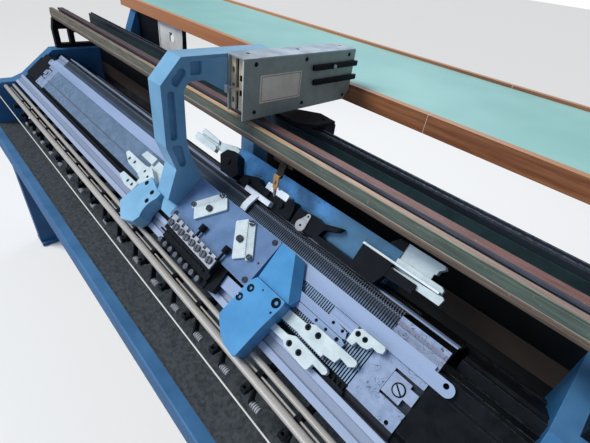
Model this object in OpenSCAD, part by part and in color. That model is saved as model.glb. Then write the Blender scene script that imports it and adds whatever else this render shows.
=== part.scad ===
// Flat knitting machine with two needle beds in a V
// Millimetres, Z up, X along the beds, the front bed faces -Y.
// Beds are drawn in their own sloping planes: s runs down the slope from
// the throat line and h stands square off the bed surface.

/* [Beds] */
// Needles in each bed
needles = 320; // [200:4:360]
// Distance from needle to needle, 5 gauge
pitch = 5.08; // [4:0.01:6]
// Width of one milled trick
trick_w = 2.4; // [1.6:0.1:3]
// Depth of one milled trick
trick_d = 6; // [4:0.5:8]
// Slope of each bed
bed_angle = 38; // [34:1:42]
// Length of the tricks down the slope
trick_len = 150; // [140:1:160]
// Thickness of the bed plates
bed_t = 28; // [22:1:34]
// Width of the throat between the beds
throat_gap = 6.4; // [5:0.1:9]
// Height of the throat above the floor
throat_h = 1000; // [900:5:1100]
// Plain length of bed beyond the last trick
bed_end = 91; // [80:1:110]

/* [Frame] */
// Distance from the last needle to the outside of the stands
frame_over = 297.2; // [280:1:330]
// Width of each stand casting
stand_w = 60; // [40:1:80]
// Start of the carriage rail down the slope
rail_s = 172; // [168:1:176]
// Width of the carriage rail
rail_w = 42; // [36:1:46]

/* [Yarn rails and table] */
// Top of both yarn rails above the throat
yarn_rail_z = 140; // [130:1:150]
// Height of the front yarn rail
yarn_rail_t = 38; // [30:1:44]
// Table overhang beyond the stands
table_over = 80; // [40:1:120]
// Thickness of the table edge
table_t = 46; // [30:1:60]
// Top of the table above the throat
table_z = 187; // [170:1:210]
// Depth of the table
table_d = 525; // [400:5:600]

/* [Carriage] */
// Rest place of the carriage right of the middle
carriage_x = 407; // [300:1:500]
// Length of the cam plate along the bed
cam_l = 296; // [280:1:300]
// Height of the cam plate top above the bed
cam_h = 30; // [28:1:34]
// Thickness of the cam plate
cam_t = 9; // [6:0.5:12]
// Height of both end castings above the bed
end_h = 42; // [38:1:48]
// Width of the bow arm casting
bow_w = 52; // [40:1:60]
// Top of the bow above the throat
bow_z = 277; // [265:1:290]
// Depth of the pockets in the bow
pocket_d = 12; // [4:1:20]
// Length of the head box
head_l = 350; // [330:1:360]
// Width of the head box
head_w = 59; // [50:1:70]
// Thickness of the head box plates
head_t = 3.5; // [2:0.5:5]

/* [Hidden] */
$fn = 48;
ca = cos(bed_angle);
sa = sin(bed_angle);
field = needles * pitch / 2;
bed_half = field + bed_end;
frame_half = field + frame_over;
stand_in = frame_half - stand_w;
beam_half = stand_in;
table_half = frame_half + table_over;
table_y0 = 385;
rim_y = -311;
y_mid = (table_y0 + table_d + rim_y) / 2;
run_gap = 0.3;
cover_left = -400;
cover_right = 186;
beam_top = -bed_t;
rail_e = rail_s + rail_w;
key_pitch = 22.2;
unit_pitch = 20 * pitch;

// placing
module place() {
  translate([0, -y_mid, throat_h])
    children();
}

module ride() {
  translate([carriage_x, -y_mid, throat_h])
    children();
}

// pieces beside the cam plate, side -1 left and 1 right
module ride_end(side) {
  ride()
    translate([side * end_shift, 0, 0])
      children();
}

// flat outline drawn as (x, s), standing from height h0 by t
module front_flat(h0, t) {
  rotate([bed_angle, 0, 0])
    translate([0, 0, h0])
      linear_extrude(t)
        mirror([0, 1, 0])
          children();
}

module rear_flat(h0, t) {
  rotate([-bed_angle, 0, 0])
    translate([0, 0, h0])
      linear_extrude(t)
        children();
}

// cross-section drawn as (s, h), run along X
module front_run(x0, x1) {
  rotate([bed_angle, 0, 0])
    translate([x0, 0, 0])
      rotate([90, 0, 90])
        linear_extrude(x1 - x0)
          mirror([1, 0, 0])
            children();
}

module rear_run(x0, x1) {
  rotate([-bed_angle, 0, 0])
    translate([x0, 0, 0])
      rotate([90, 0, 90])
        linear_extrude(x1 - x0)
          children();
}

// cross-section drawn as (y, z), run along X
module run_x(x0, x1) {
  translate([x0, 0, 0])
    rotate([90, 0, 90])
      linear_extrude(x1 - x0)
        children();
}

// outline drawn as (x, h) in a plane square to the rear slope, from s0 by t
module rear_wall(s0, t) {
  rotate([-bed_angle, 0, 0])
    translate([0, s0 + t, 0])
      rotate([90, 0, 0])
        linear_extrude(t)
          children();
}

module box(x0, x1, y0, y1, z0, z1) {
  translate([x0, y0, z0])
    cube([x1 - x0, y1 - y0, z1 - z0]);
}

module rect(x0, x1, y0, y1) {
  translate([x0, y0])
    square([x1 - x0, y1 - y0]);
}

// round post square to the front bed at (x, s)
module front_pin(x, s, h0, h1, r) {
  rotate([bed_angle, 0, 0])
    translate([x, -s, h0])
      cylinder(h = h1 - h0, r = r);
}

function bed_y(s, h) = -s * ca - h * sa;
function bed_z(s, h) = -s * sa + h * ca;

// stands
module stand_outline() {
  difference() {
    polygon([[-282, -1000], [-170, -1000], [-150, -940], [-110, -500], [300, -500],
      [350, -940], [370, -1000], [500, -1000], [465, -520], [450, -80],
      [630, 72], [880, 105], [880, 141], [400, 141], [330, -16], [2, -16], [-128, -116],
      [-170, -132], [-222, -132], [-258, -165], [-282, -290]]);
    polygon([[-200, -330], [-120, -225], [250, -225], [330, -330], [330, -400],
      [-180, -400]]);
    polygon([[470, 2], [470, 100], [592, 100]]);
  }
}

module stand(side) {
  x0 = side > 0 ? stand_in : -frame_half;
  difference() {
    union() {
      run_x(x0, x0 + stand_w)
        stand_outline();
      box(x0 - 20, x0 + stand_w + 20, -282, -170, -1000, -982);
      box(x0 - 20, x0 + stand_w + 20, 370, 500, -1000, -982);
    }
    outer = side > 0 ? x0 + 22 : x0 - 1;
    run_x(outer, outer + stand_w - 21)
      polygon([[-262, -940], [-178, -940], [-140, -520], [-245, -520]]);
    run_x(outer, outer + stand_w - 21)
      polygon([[382, -940], [470, -940], [440, -520], [335, -520]]);
    run_x(outer, outer + stand_w - 21)
      polygon([[-102, -120], [10, -38], [148, -38], [148, -200], [-116, -200]]);
    run_x(outer, outer + stand_w - 21)
      polygon([[164, -38], [318, -38], [424, -92], [424, -200], [164, -200]]);
    run_x(outer, outer + stand_w - 21)
      polygon([[-262, -480], [-262, -300], [-244, -190], [-206, -158], [-206, -480]]);
    for (dx = [-12, stand_w + 12]) {
      for (y = [-226, 436]) {
        translate([x0 + dx, y, -1001])
          cylinder(h = 30, r = 5.5);
      }
    }
  }
}

module left_stand() {
  color("SteelBlue")
    place()
      stand(-1);
}

module right_stand() {
  color("SteelBlue")
    place()
      stand(1);
}

module rear_tie() {
  color("SteelBlue")
    place()
      run_x(-stand_in, stand_in)
        difference() {
          rect(350, 430, -700, -620);
          rect(356, 424, -694, -626);
        }
}

// bed beams
module front_beam_section() {
  polygon([[bed_y(30, beam_top), bed_z(30, beam_top)], [-34, -150], [-118, -190],
    [bed_y(rail_e, beam_top), bed_z(rail_e, beam_top)]]);
}

module front_bed_beam() {
  color("DimGray")
    place() {
      run_x(-beam_half, beam_half)
        difference() {
          front_beam_section();
          polygon([[-22, -70], [-46, -141], [-114, -173.5], [-133.5, -157]]);
        }
      for (e = [-beam_half, bed_half]) {
        front_run(e, e + beam_half - bed_half)
          polygon([[38, -bed_t], [38, -9], [60, -9], [66, -4], [150, -4], [160, -14],
            [168, -14], [168, -bed_t]]);
      }
    }
}

module rear_bed_beam() {
  color("DimGray")
    place() {
      run_x(-beam_half, beam_half)
        difference() {
          polygon([[-bed_y(30, beam_top - run_gap), bed_z(30, beam_top - run_gap)],
            [34, -150], [118, -190],
            [-bed_y(rail_e, beam_top - run_gap), bed_z(rail_e, beam_top - run_gap)]]);
          polygon([[22, -70], [46, -141], [114, -173.5], [133.5, -157]]);
        }
      rear_run(-beam_half, beam_half)
        rail_section(-run_gap);
      for (e = [-beam_half, bed_half + 14]) {
        rear_run(e, e + beam_half - bed_half - 14)
          polygon([[38, -bed_t - run_gap], [38, -9], [60, -9], [66, -4], [150, -4],
            [160, -14], [168, -14], [168, -bed_t - run_gap]]);
      }
    }
}

// needle beds
// comb cross-section drawn as (x, h)
module trick_comb() {
  difference() {
    rect(-field, field, -bed_t, 0);
    for (i = [0 : needles - 1]) {
      translate([-field + (i + 0.5) * pitch - trick_w / 2, -trick_d])
        square([trick_w, trick_d + 1]);
    }
  }
}

module needle_bed_body() {
  difference() {
    union() {
      translate([0, trick_len, 0])
        rotate([90, 0, 0])
          linear_extrude(trick_len)
            trick_comb();
      translate([-field, trick_len, -bed_t])
        cube([2 * field, rail_s - 2 - trick_len, bed_t - 4]);
    }
    rotate([bed_angle, 0, 0])
      translate([-field - 1, -80, -80])
        cube([2 * field + 2, 80 + throat_gap / 2, 120]);
  }
}

// latch needle outline drawn as (s, h)
module needle_outline() {
  polygon([[7, -5], [7, 1], [10, 1], [10, -1.4], [118, -1.4], [118, 3.4], [121, 3.4],
    [121, -5]]);
}

module needle_row() {
  for (i = [0 : needles - 1]) {
    translate([-field + (i + 0.5) * pitch - 0.8, 0, 0])
      rotate([90, 0, 90])
        linear_extrude(1.6)
          needle_outline();
  }
}

module front_needle_bed() {
  color("LightSteelBlue")
    place()
      rotate([bed_angle, 0, 0])
        mirror([0, 1, 0])
          needle_bed_body();
}

module front_needles() {
  color("Silver")
    place()
      rotate([bed_angle, 0, 0])
        mirror([0, 1, 0])
          needle_row();
}

module rear_needle_bed() {
  color("LightSteelBlue")
    place()
      rotate([-bed_angle, 0, 0])
        union() {
          needle_bed_body();
          for (e = [-bed_half, field]) {
            translate([e, 42, -bed_t])
              cube([bed_end, rail_s - 2 - 42, bed_t - 2]);
          }
        }
}

module rear_needles() {
  color("Silver")
    place()
      rotate([-bed_angle, 0, 0])
        needle_row();
}

// cover band with a rounded holed tongue at each end, drawn as (x, s)
module band_outline() {
  difference() {
    union() {
      rect(-bed_half + 5, bed_half - 5, 35, 65);
      for (m = [0, 1]) {
        mirror([m, 0]) {
          rect(bed_half - 6, bed_half + 23.5, 42, 65);
          translate([bed_half + 23.5, 53.5])
            circle(r = 11.5);
        }
      }
    }
    for (m = [0, 1]) {
      mirror([m, 0])
        translate([bed_half + 20, 50])
          circle(r = 4.5);
    }
  }
}

module front_bed_band() {
  color("LightSteelBlue")
    place()
      front_flat(0, 3.2)
        band_outline();
}

module rear_bed_band() {
  color("LightSteelBlue")
    place()
      rear_flat(0, 3.2)
        rect(-bed_half, bed_half, 35, 65);
}

module front_spring_row() {
  color("Black")
    place()
      front_flat(-4, 6)
        union() {
          rect(-field, field, trick_len + 12, trick_len + 17);
          for (i = [0 : needles / 2 - 1]) {
            translate([-field + (i + 0.5) * 2 * pitch - 1.5, trick_len + 6])
              square([3, 6.5]);
          }
        }
}

// bright plates beyond the last trick, mirrored left and right
module bed_end_plates() {
  color("LightSteelBlue")
    place()
      for (m = [0, 1]) {
        mirror([m, 0, 0]) {
          difference() {
            front_flat(-bed_t, bed_t)
              rect(field, bed_half, 38, 156);
            front_flat(-8, 9)
              rect(bed_half - 50, bed_half + 1, 77, 123);
            front_flat(-3, 4)
              rect(field - 1, bed_half + 1, 37, 66);
            front_pin(bed_half - 15, 150, -10, 1, 3.5);
          }
          front_flat(-3, 3)
            rect(field, bed_half, 42, 65);
          front_run(field, bed_half)
            polygon([[5, 0], [11, -8], [24, -16], [38, -16], [38, -3], [36, -1], [27, -1],
              [27, -3], [20, -3], [20, 0]]);
          front_run(field, bed_half)
            polygon([[156, -bed_t], [156, -5], [163, -5], [170, -10], [170, -bed_t]]);
        }
      }
}

module clamp_blocks() {
  color("Silver")
    place()
      for (m = [0, 1]) {
        mirror([m, 0, 0]) {
          front_flat(-8, 9.5)
            difference() {
              rect(bed_half - 49, bed_half, 82, 119);
              rect(bed_half - 16, bed_half + 1, 108, 120);
              rect(bed_half - 16, bed_half + 1, 81, 88);
            }
          difference() {
            front_pin(bed_half - 28, 101, 1.5, 3.5, 10.5);
            front_flat(2.3, 2)
              translate([bed_half - 28, 101])
                rotate(35)
                  rect(-11, 11, -1.3, 1.3);
          }
        }
      }
}

// carriage rail, rods and tension units
module rail_section(lift) {
  a = rail_s;
  b = rail_e;
  polygon([[a, -bed_t + lift], [a, 0], [a + 11, 0], [a + 13, -4], [a + 27, -4],
    [a + 29, 0], [b, 0], [b, -bed_t + lift]]);
}

module front_guide_rail() {
  color("LightSteelBlue")
    place()
      front_run(-beam_half, beam_half)
        rail_section(0);
}

module rod(y, z, r, half) {
  translate([-half, y, z])
    rotate([0, 90, 0])
      cylinder(h = 2 * half, r = r);
}

module front_rod() {
  color("Silver")
    place()
      rod(-209, -148, 8, stand_in);
}

module second_rod() {
  color("Gray")
    place() {
      rod(-180, -146, 6, stand_in);
      rod(-193.5, -152, 2, stand_in);
    }
}

module pull_rod() {
  color("White")
    place()
      rod(-244, -180, 1.6, stand_in);
}

unit_x = [for (i = [-9 : 8]) 20 + (i + 0.5) * unit_pitch];

// hanger that holds the rods and a holed ear, drawn as (y, z)
module tension_brackets() {
  color("DarkSlateGray")
    place()
      for (x = unit_x) {
        difference() {
          run_x(x - 5, x + 5)
            polygon([[-150, -158], [-150, -176], [-216, -176], [-219, -172],
              [-219, -152.5], [-200, -152.5], [-197, -146], [-172, -146], [-166, -154]]);
          rod(-209, -148, 8, stand_in);
          rod(-180, -146, 6, stand_in);
          rod(-193.5, -152, 2, stand_in);
        }
        difference() {
          translate([x - 7, -231, -171])
            cube([14, 12, 13]);
          translate([x, -225.4, -166])
            cylinder(h = 9, r = 3.4);
        }
        run_x(x - 8, x - 3)
          union() {
            polygon([[-196, -175], [-186, -175], [-196.5, -240], [-209.5, -240]]);
            translate([-203, -242])
              circle(r = 7);
          }
      }
}

module ribbed_knobs() {
  color("LightGray")
    place()
      for (x = unit_x) {
        translate([x - 3, -203, -242])
          rotate([0, 90, 0])
            rotate_extrude()
              union() {
                rect(0, 5.6, 0, 24);
                for (i = [0 : 4]) {
                  rect(0, 7.6, i * 5, i * 5 + 2.8);
                }
              }
      }
}

module front_tray() {
  color("DimGray")
    place() {
      run_x(-stand_in, stand_in)
        polygon([[-282, -300], [-282, -304], [-142, -304], [-122, -194], [-125, -194],
          [-145, -301], [-279, -301], [-279, -300]]);
    }
}

module blue_rim() {
  color("SteelBlue")
    place()
      run_x(-frame_half, frame_half)
        difference() {
          polygon([[-311, -372], [-311, -303], [-308, -300], [-282, -300], [-282, -372]]);
          rect(-308, -285, -373, -303);
        }
}

// yarn rails
module yarn_rail_front() {
  color("RosyBrown")
    place()
      run_x(-frame_half, frame_half)
        polygon([[43, yarn_rail_z - yarn_rail_t], [40.5, yarn_rail_z - 23],
          [42.5, yarn_rail_z - 3], [44, yarn_rail_z], [57, yarn_rail_z],
          [57, yarn_rail_z - 8], [54, yarn_rail_z - 12], [54, yarn_rail_z - 26],
          [57, yarn_rail_z - 30], [57, yarn_rail_z - yarn_rail_t]]);
}

module yarn_rail_rear() {
  color("RosyBrown")
    place()
      run_x(-frame_half, frame_half)
        polygon([[75, yarn_rail_z - yarn_rail_t], [75, yarn_rail_z - 30],
          [78, yarn_rail_z - 26], [78, yarn_rail_z - 12], [75, yarn_rail_z - 8],
          [75, yarn_rail_z], [97, yarn_rail_z], [97, yarn_rail_z - 8],
          [94, yarn_rail_z - 12], [94, yarn_rail_z - 26], [97, yarn_rail_z - 30],
          [97, yarn_rail_z - yarn_rail_t]]);
}

module rail_posts() {
  color("DimGray")
    place() {
      for (e = [-frame_half, frame_half - 28]) {
        run_x(e, e + 28)
          difference() {
            polygon([[30, -16], [30, 60], [40, 102], [97, 102], [108, 70], [200, 62],
              [200, 100], [215, 100], [232, 60], [232, -16]]);
            polygon([[52, 0], [52, 60], [92, 60], [92, 0]]);
            polygon([[112, 0], [112, 44], [196, 38], [196, 0]]);
          }
        box(e, e + 28, 57, 75, 96, 112);
      }
      run_y(406, 412)
        polygon([[-stand_in, 141], [-stand_in, 10], [-826, 10], [-826, 141]]);
      box(-613, -604, 396, 410, 38, 141);
    }
}

module rear_guide_rail() {
  color("Black")
    place()
      run_x(-frame_half, frame_half)
        polygon([[200, 100], [200, 115], [202, 118], [204, 118], [205, 114], [209, 116],
          [210, 122], [213, 122], [215, 119], [215, 100]]);
}

// cover sheets behind the rear bed, open in the middle
module rear_panel() {
  color("DarkSlateGray")
    place() {
      run_x(-frame_half + 28, frame_half - 28)
        polygon([[197, 20], [200, 20], [200, 101.5], [197, 101.5]]);
      for (e = [[-stand_in, cover_left], [cover_right, stand_in]]) {
        run_x(e[0], e[1])
          polygon([[200, -205], [203, -205], [203, 40], [200, 40]]);
        run_x(e[0], e[1])
          polygon([[197, -126], [200, -126], [200, -72], [197, -72]]);
      }
    }
}

// yarn table
module table_top() {
  color("PaleTurquoise")
    place()
      box(-table_half + 20, table_half - 20, table_y0 + 22, table_y0 + table_d - 20,
        table_z - table_t, table_z);
}

module table_edge() {
  color("Sienna")
    place()
      difference() {
        box(-table_half, table_half, table_y0, table_y0 + table_d, table_z - table_t,
          table_z);
        box(-table_half + 20, table_half - 20, table_y0 + 22, table_y0 + table_d - 20,
          table_z - table_t - 1, table_z + 1);
      }
}

module side_bracket() {
  color("WhiteSmoke")
    place() {
      run_y(398, 404)
        difference() {
          polygon([[-818, 141], [-818, 24], [-640, 24], [-622, 44], [-613, 141]]);
          translate([-711, 89])
            circle(r = 19);
          rect(-730, -711, 70, 108);
        }
      box(-826, -818, 396, 412, 24, 141);
      run_x(102, cover_right)
        polygon([[200, -120], [203, -120], [203, 40], [200, 40]]);
    }
}

// outline drawn as (x, z), run along Y
module run_y(y0, y1) {
  translate([0, y1, 0])
    rotate([90, 0, 0])
      linear_extrude(y1 - y0)
        children();
}

// front of the carriage
cam_x = cam_l / 2;
// outlines beside the plate are drawn for this half length and keep to its ends
drawn_x = 148;
end_shift = cam_x - drawn_x;
cam_s0 = 37;
cam_s1 = 150;

// stitch plate axes: u along the plate, v across it
module plate_axes() {
  translate([27, 63])
    rotate(48.8)
      mirror([0, 1])
        children();
}

// left one is the mirror of the right one, moved to its own place
module plate_side(side) {
  if (side > 0) {
    plate_axes()
      children();
  } else {
    translate([13, -6])
      mirror([1, 0])
        plate_axes()
          children();
  }
}

module cam_plate() {
  color("SlateGray")
    ride()
      difference() {
        front_flat(6, cam_h - 6)
          polygon([[-cam_x, cam_s0 + 3], [-cam_x + 4, cam_s0], [cam_x - 4, cam_s0],
            [cam_x, cam_s0 + 4], [cam_x, cam_s1], [-cam_x, cam_s1]]);
        front_flat(5, cam_h - cam_t - 5)
          rect(-cam_x + 8, cam_x - 8, cam_s0 + 6, cam_s1 - 6);
        for (side = [-1, 1]) {
          front_flat(cam_h - cam_t - 1, cam_t + 2)
            plate_side(side) {
              translate([32, 15])
                circle(r = 4.5);
              translate([56, 15])
                circle(r = 4.5);
              rect(32, 56, 10.5, 19.5);
            }
        }
      }
}

// stitch, raising and guard cams under the plate, drawn as (x, s)
module front_cams() {
  color("Silver")
    ride()
      front_flat(4.4, cam_h - cam_t - 4.4) {
        polygon([[-46, 122], [-14, 84], [14, 84], [46, 122]]);
        polygon([[-22, 76], [0, 60], [22, 76]]);
        polygon([[-74, 74], [-52, 74], [-32, 92], [-54, 122], [-64, 122]]);
        polygon([[74, 74], [52, 74], [32, 92], [54, 122], [64, 122]]);
        polygon([[-128, 98], [-84, 98], [-76, 112], [-84, 122], [-128, 122]]);
        polygon([[128, 98], [84, 98], [76, 112], [84, 122], [128, 122]]);
      }
}

module index_strips() {
  color("WhiteSmoke")
    ride()
      for (side = [-1, 1]) {
        front_flat(cam_h, 5)
          plate_side(side) {
            polygon([[6, 30.6], [92, 30.6], [94, 40], [88, 47], [10, 47], [4, 40]]);
          }
        rotate([bed_angle, 0, 0])
          translate([0, 0, cam_h + 5])
            mirror([0, 1, 0])
              plate_side(side) {
                translate([12, 40, 0])
                  cylinder(h = 3.4, r = 6.2);
                translate([87, 40, 0])
                  cylinder(h = 3.4, r = 6.2);
              }
      }
}

// sliding indicator with its stud and slotted knob
module stitch_plate(side) {
  rotate([bed_angle, 0, 0])
    mirror([0, 1, 0])
      plate_side(side) {
        translate([0, 0, cam_h + run_gap])
          linear_extrude(5.7)
            polygon([[0, 2], [2, 0], [84, 0], [86, 2], [86, 30], [0, 30]]);
        translate([44, 15, cam_h - cam_t + 1])
          cylinder(h = cam_t + 4, r = 4.2);
        difference() {
          translate([44, 15, cam_h + 6])
            cylinder(h = 6, r = 7.4);
          translate([44, 15, cam_h + 11])
            rotate(20)
              translate([-8, -1, 0])
                cube([16, 2, 2]);
        }
      }
}

module stitch_plate_left() {
  color("White")
    ride()
      stitch_plate(-1);
}

module stitch_plate_right() {
  color("White")
    ride()
      stitch_plate(1);
}

// slide shoe on the front rail under an end casting
module front_shoes(x0, x1) {
  front_flat(run_gap, 14)
    rect(x0, x1, rail_s + 1, rail_s + 10);
  front_flat(run_gap, 14)
    rect(x0, x1, rail_s + 30, rail_e - 1);
}

module left_bracket_outline() {
  difference() {
    polygon([[-291, 148], [-273, 116], [-250, 122], [-228, 128], [-205, 131], [-205, 200],
      [-213, 225], [-254, 242], [-304, 213]]);
    translate([-165, 178])
      circle(r = 50);
  }
}

module left_bracket() {
  color("SteelBlue")
    ride_end(-1) {
      difference() {
        union() {
          front_flat(4, end_h - 4)
            left_bracket_outline();
          front_shoes(-296, -219);
        }
        front_flat(3, end_h - 13)
          polygon([[-282, 150], [-268, 128], [-228, 140], [-224, 176], [-224, 214],
            [-254, 231], [-292, 210]]);
        for (p = [[-272, 135], [-232, 143], [-226, 166]]) {
          front_pin(p[0], p[1], end_h - 5, end_h + 1, 6.5);
        }
      }
      difference() {
        front_flat(6, cam_h - 6)
          polygon([[-228, 100], [-200, 36], [-drawn_x, 36], [-drawn_x, 150], [-138, 150],
            [-138, 158], [-180, 158], [-205, 131], [-228, 128]]);
        front_flat(5, 17)
          polygon([[-192, 46], [-156, 46], [-156, 140], [-176, 140], [-192, 126]]);
      }
    }
}

module right_bracket() {
  color("DodgerBlue")
    ride_end(1) {
      difference() {
        front_flat(4, end_h - 4)
          polygon([[164, 118], [241, 118], [243, 124], [243, 130], [237, 178], [233, 246],
            [230, 250], [198, 247], [178, 238], [152, 219], [150, 214], [153, 153],
            [156, 130]]);
        front_flat(3, end_h - 13)
          polygon([[168, 128], [231, 128], [226, 178], [222, 238], [200, 236],
            [182, 227], [162, 212], [164, 153]]);
        front_pin(167, 142, end_h - 6, end_h + 1, 8);
        front_pin(160, 168, end_h - 6, end_h + 1, 8);
        front_pin(229, 130, end_h - 7, end_h + 1, 10);
        front_pin(191, 129, end_h - 6, end_h + 1, 2);
        front_pin(233, 149, end_h - 6, end_h + 1, 2.5);
        translate([140, -209, -148])
          rotate([0, 90, 0])
            cylinder(h = 110, r = 10);
      }
      front_shoes(155, 234);
      front_pin(167, 142, 14, end_h - 2, 4.6);
      front_pin(160, 168, 14, end_h - 2, 4.6);
      front_pin(229, 130, 14, end_h - 2, 6);
    }
}

module wedge_plate() {
  color("DodgerBlue")
    ride_end(1)
      difference() {
        front_flat(10, 22)
          polygon([[150, 38], [215, 38], [247, 84], [247, 117.5], [158, 117.5]]);
        front_flat(9, 13)
          polygon([[158, 46], [196, 50], [228, 108], [166, 108]]);
        rotate([bed_angle, 0, 0])
          translate([188, -38, 32])
            rotate([0, 0, -54.75])
              rotate([-57.9, 0, 0])
                translate([-60, -5, 0])
                  cube([220, 60, 60]);
      }
}

// bow over the rails
module bow_outline() {
  polygon([[bed_y(126, cam_h), bed_z(126, cam_h)], [-137, -30], [-111, 40], [-130, 96],
    [-130, 228], [-83, bow_z], [151, bow_z], [155, bow_z - 4], [155, -19.6], [105, 19.5],
    [105, 199], [18, 199], [-33, 228], [-67, 229], [-81, 214], [-81, 106], [-76, 76],
    [bed_y(37, cam_h), bed_z(37, cam_h)]]);
}

module bow_arm() {
  color("SteelBlue")
    ride()
      difference() {
        union() {
          run_x(-cam_x - bow_w, -cam_x)
            bow_outline();
          intersection() {
            translate([0, 0, 190])
              linear_extrude(bow_z - 6 - 190)
                polygon([[-cam_x - 1, -30], [-cam_x, -30], [-cam_x + 5, 21],
                  [-cam_x - 1, 21]]);
            run_x(-cam_x - 2, -cam_x + 6)
              bow_outline();
          }
        }
        run_x(-cam_x - pocket_d, -cam_x + 1) {
          polygon([[-64, 264], [-61, 267], [-40, 267], [-37, 264], [-37, 243],
            [-40, 240], [-61, 240], [-64, 243]]);
          polygon([[-79, 256], [-73, 250], [-74, 242], [-92, 222], [-98, 221],
            [-106, 229], [-105, 238], [-87, 256]]);
          translate([-109.5, 206])
            circle(r = 8.5);
          translate([-109.5, 118])
            circle(r = 8.5);
          rect(-118, -101, 118, 206);
          polygon([[-116, 94], [-112, 99], [-97, 96], [-92, 90], [-84, 50], [-89, 43],
            [-97, 43], [-102, 48]]);
        }
        run_x(-cam_x - bow_w - 1, -cam_x - bow_w + pocket_d) {
          translate([-109.5, 206])
            circle(r = 8.5);
          translate([-109.5, 118])
            circle(r = 8.5);
          rect(-118, -101, 118, 206);
        }
      }
}

// head box with the carrier selectors
head_x0 = -cam_x + 1;
head_x1 = head_x0 + head_w;
// middle line between the two selector plates
select_x = head_x0 + 24;
head_y0 = 24;
head_y1 = head_y0 + head_l;
slide_z = [246, 212];

module head_box() {
  color("DarkSlateGray")
    ride() {
      run_x(head_x0, head_x0 + head_t)
        polygon([[head_y0, 158], [head_y0, bow_z], [head_y1, bow_z], [head_y1, 158]]);
      difference() {
        run_x(head_x1 - head_t, head_x1)
          polygon([[head_y0 - 2, 150], [head_y0 - 2, bow_z], [head_y1, bow_z],
            [head_y1, 178], [head_y1 - 18, 154], [head_y0 + 4, 150]]);
        for (z = slide_z) {
          box(head_x1 - 10, head_x1 + 1, 236, 346, z - 3, z + 3);
        }
        for (y = [54, 200, 350]) {
          for (z = [166, 267]) {
            translate([head_x1 - 10, y, z])
              rotate([0, 90, 0])
                cylinder(h = 12, r = 5);
          }
        }
      }
      difference() {
        box(head_x0 + head_t, head_x1 - head_t, 64, head_y1 - 8, 162, bow_z);
        box(head_x1 - 24, head_x1, 230, 352, 204, 254);
      }
      box(-cam_x, head_x0, head_y0 + 20, 150, 204, 270);
    }
}

module head_top() {
  color("LightSteelBlue")
    ride()
      difference() {
        box(head_x0 - 1, head_x1 + 1, head_y0 - 3, head_y1 - 4, bow_z, bow_z + 3);
        for (y = [60, 204, 352]) {
          translate([select_x - 3, y, bow_z - 1])
            cylinder(h = 6, r = 5);
        }
      }
}

// two slotted selector plates behind the open end
module head_selectors() {
  color("Tan")
    ride() {
      run_y(30, 64)
        difference() {
          rect(select_x - 19, select_x - 3, 164, bow_z);
          rect(select_x - 16, select_x - 7, 243, 253);
          rect(select_x - 16, select_x - 7, 206, 220);
          rect(select_x - 16, select_x - 7, 178, 190);
        }
      run_y(34, 64)
        difference() {
          rect(select_x + 3, head_x1 - head_t, 164, bow_z);
          rect(select_x + 6, select_x + 15, 228, 240);
          rect(select_x + 6, select_x + 15, 197, 209);
          rect(select_x + 19, select_x + 26, 170, 262);
        }
      box(select_x - 3, select_x + 3, 21, 64, 206, 213.7);
      box(select_x - 4, select_x + 4, 35, 63, 207, 213);
      translate([select_x, 27, 213])
        cylinder(h = 4.6, r = 1.45);
    }
}

module carrier_slider(z, y0, y1, t) {
  box(head_x1 + run_gap, head_x1 + run_gap + 8, y0, y1, z - t / 2, z + t / 2);
  for (y = [264, 318]) {
    translate([head_x1 - 8, y, z])
      rotate([0, 90, 0])
        cylinder(h = 9, r = 2.7);
  }
}

module carrier_slider_upper() {
  color("Black")
    ride() {
      carrier_slider(slide_z[0], 223, 379, 12);
      translate([head_x1 + 8, 290, slide_z[0]])
        rotate([0, 90, 0])
          cylinder(h = 3, r = 5);
    }
}

module carrier_slider_lower() {
  color("Black")
    ride()
      carrier_slider(slide_z[1], 228, 382, 12);
}

module head_lever() {
  color("Silver")
    ride()
      difference() {
        union() {
          translate([select_x, 27, 214])
            cylinder(h = 3, r = 2.8);
          box(select_x - 2.8, select_x + 2.8, 4, 27, 214, 217);
          box(select_x - 4, select_x + 4, 2, 6, 206, 222);
        }
        translate([select_x, 27, 213])
          cylinder(h = 5, r = 1.5);
      }
}

// selector block
head_xs = [for (i = [0 : 7]) -105 + i * key_pitch];
foot_xs = [for (i = [0 : 7]) -113 + i * 22.6];

module selector_plate() {
  color("Silver")
    ride()
      difference() {
        front_flat(43, 3)
          polygon([[-116, 140], [64, 145], [65, 173], [-115, 168]]);
        for (x = head_xs) {
          front_flat(42, 5)
            translate([x + 12, 139])
              rect(-4.5, 4.5, 0, 12);
        }
      }
}

module selector_base() {
  color("Black")
    ride() {
      front_run(-118, 66)
        polygon([[150, 5], [150, 43], [178, 43], [182, 30], [196, 30], [199, 24],
          [214, 24], [214, 5]]);
      front_flat(5, 15)
        polygon([[66, 152], [84, 152], [90, 206], [66, 213]]);
      front_run(-133, 45)
        polygon([[184, 30], [184, 35], [188, 35], [188, 30]]);
    }
}

module selector_heads() {
  color("Silver")
    ride() {
      for (x = head_xs) {
        difference() {
          front_pin(x, 160, 46, 51, 8);
          front_flat(49.4, 3)
            translate([x, 160])
              rotate(70)
                rect(-9, 9, -1.1, 1.1);
        }
      }
      for (x = foot_xs) {
        front_pin(x, 206, 24, 33, 6.2);
      }
    }
}

module knurled_pins() {
  color("Black")
    ride()
      for (x = [-29, 60]) {
        rotate([bed_angle, 0, 0])
          translate([x, -150, 38])
            rotate([-90, 0, 0])
              rotate_extrude()
                polygon([[0, 0], [3, 0], [3, 20], [7, 20], [7.6, 22], [7.6, 34], [7, 36],
                  [0, 36]]);
      }
}

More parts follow.
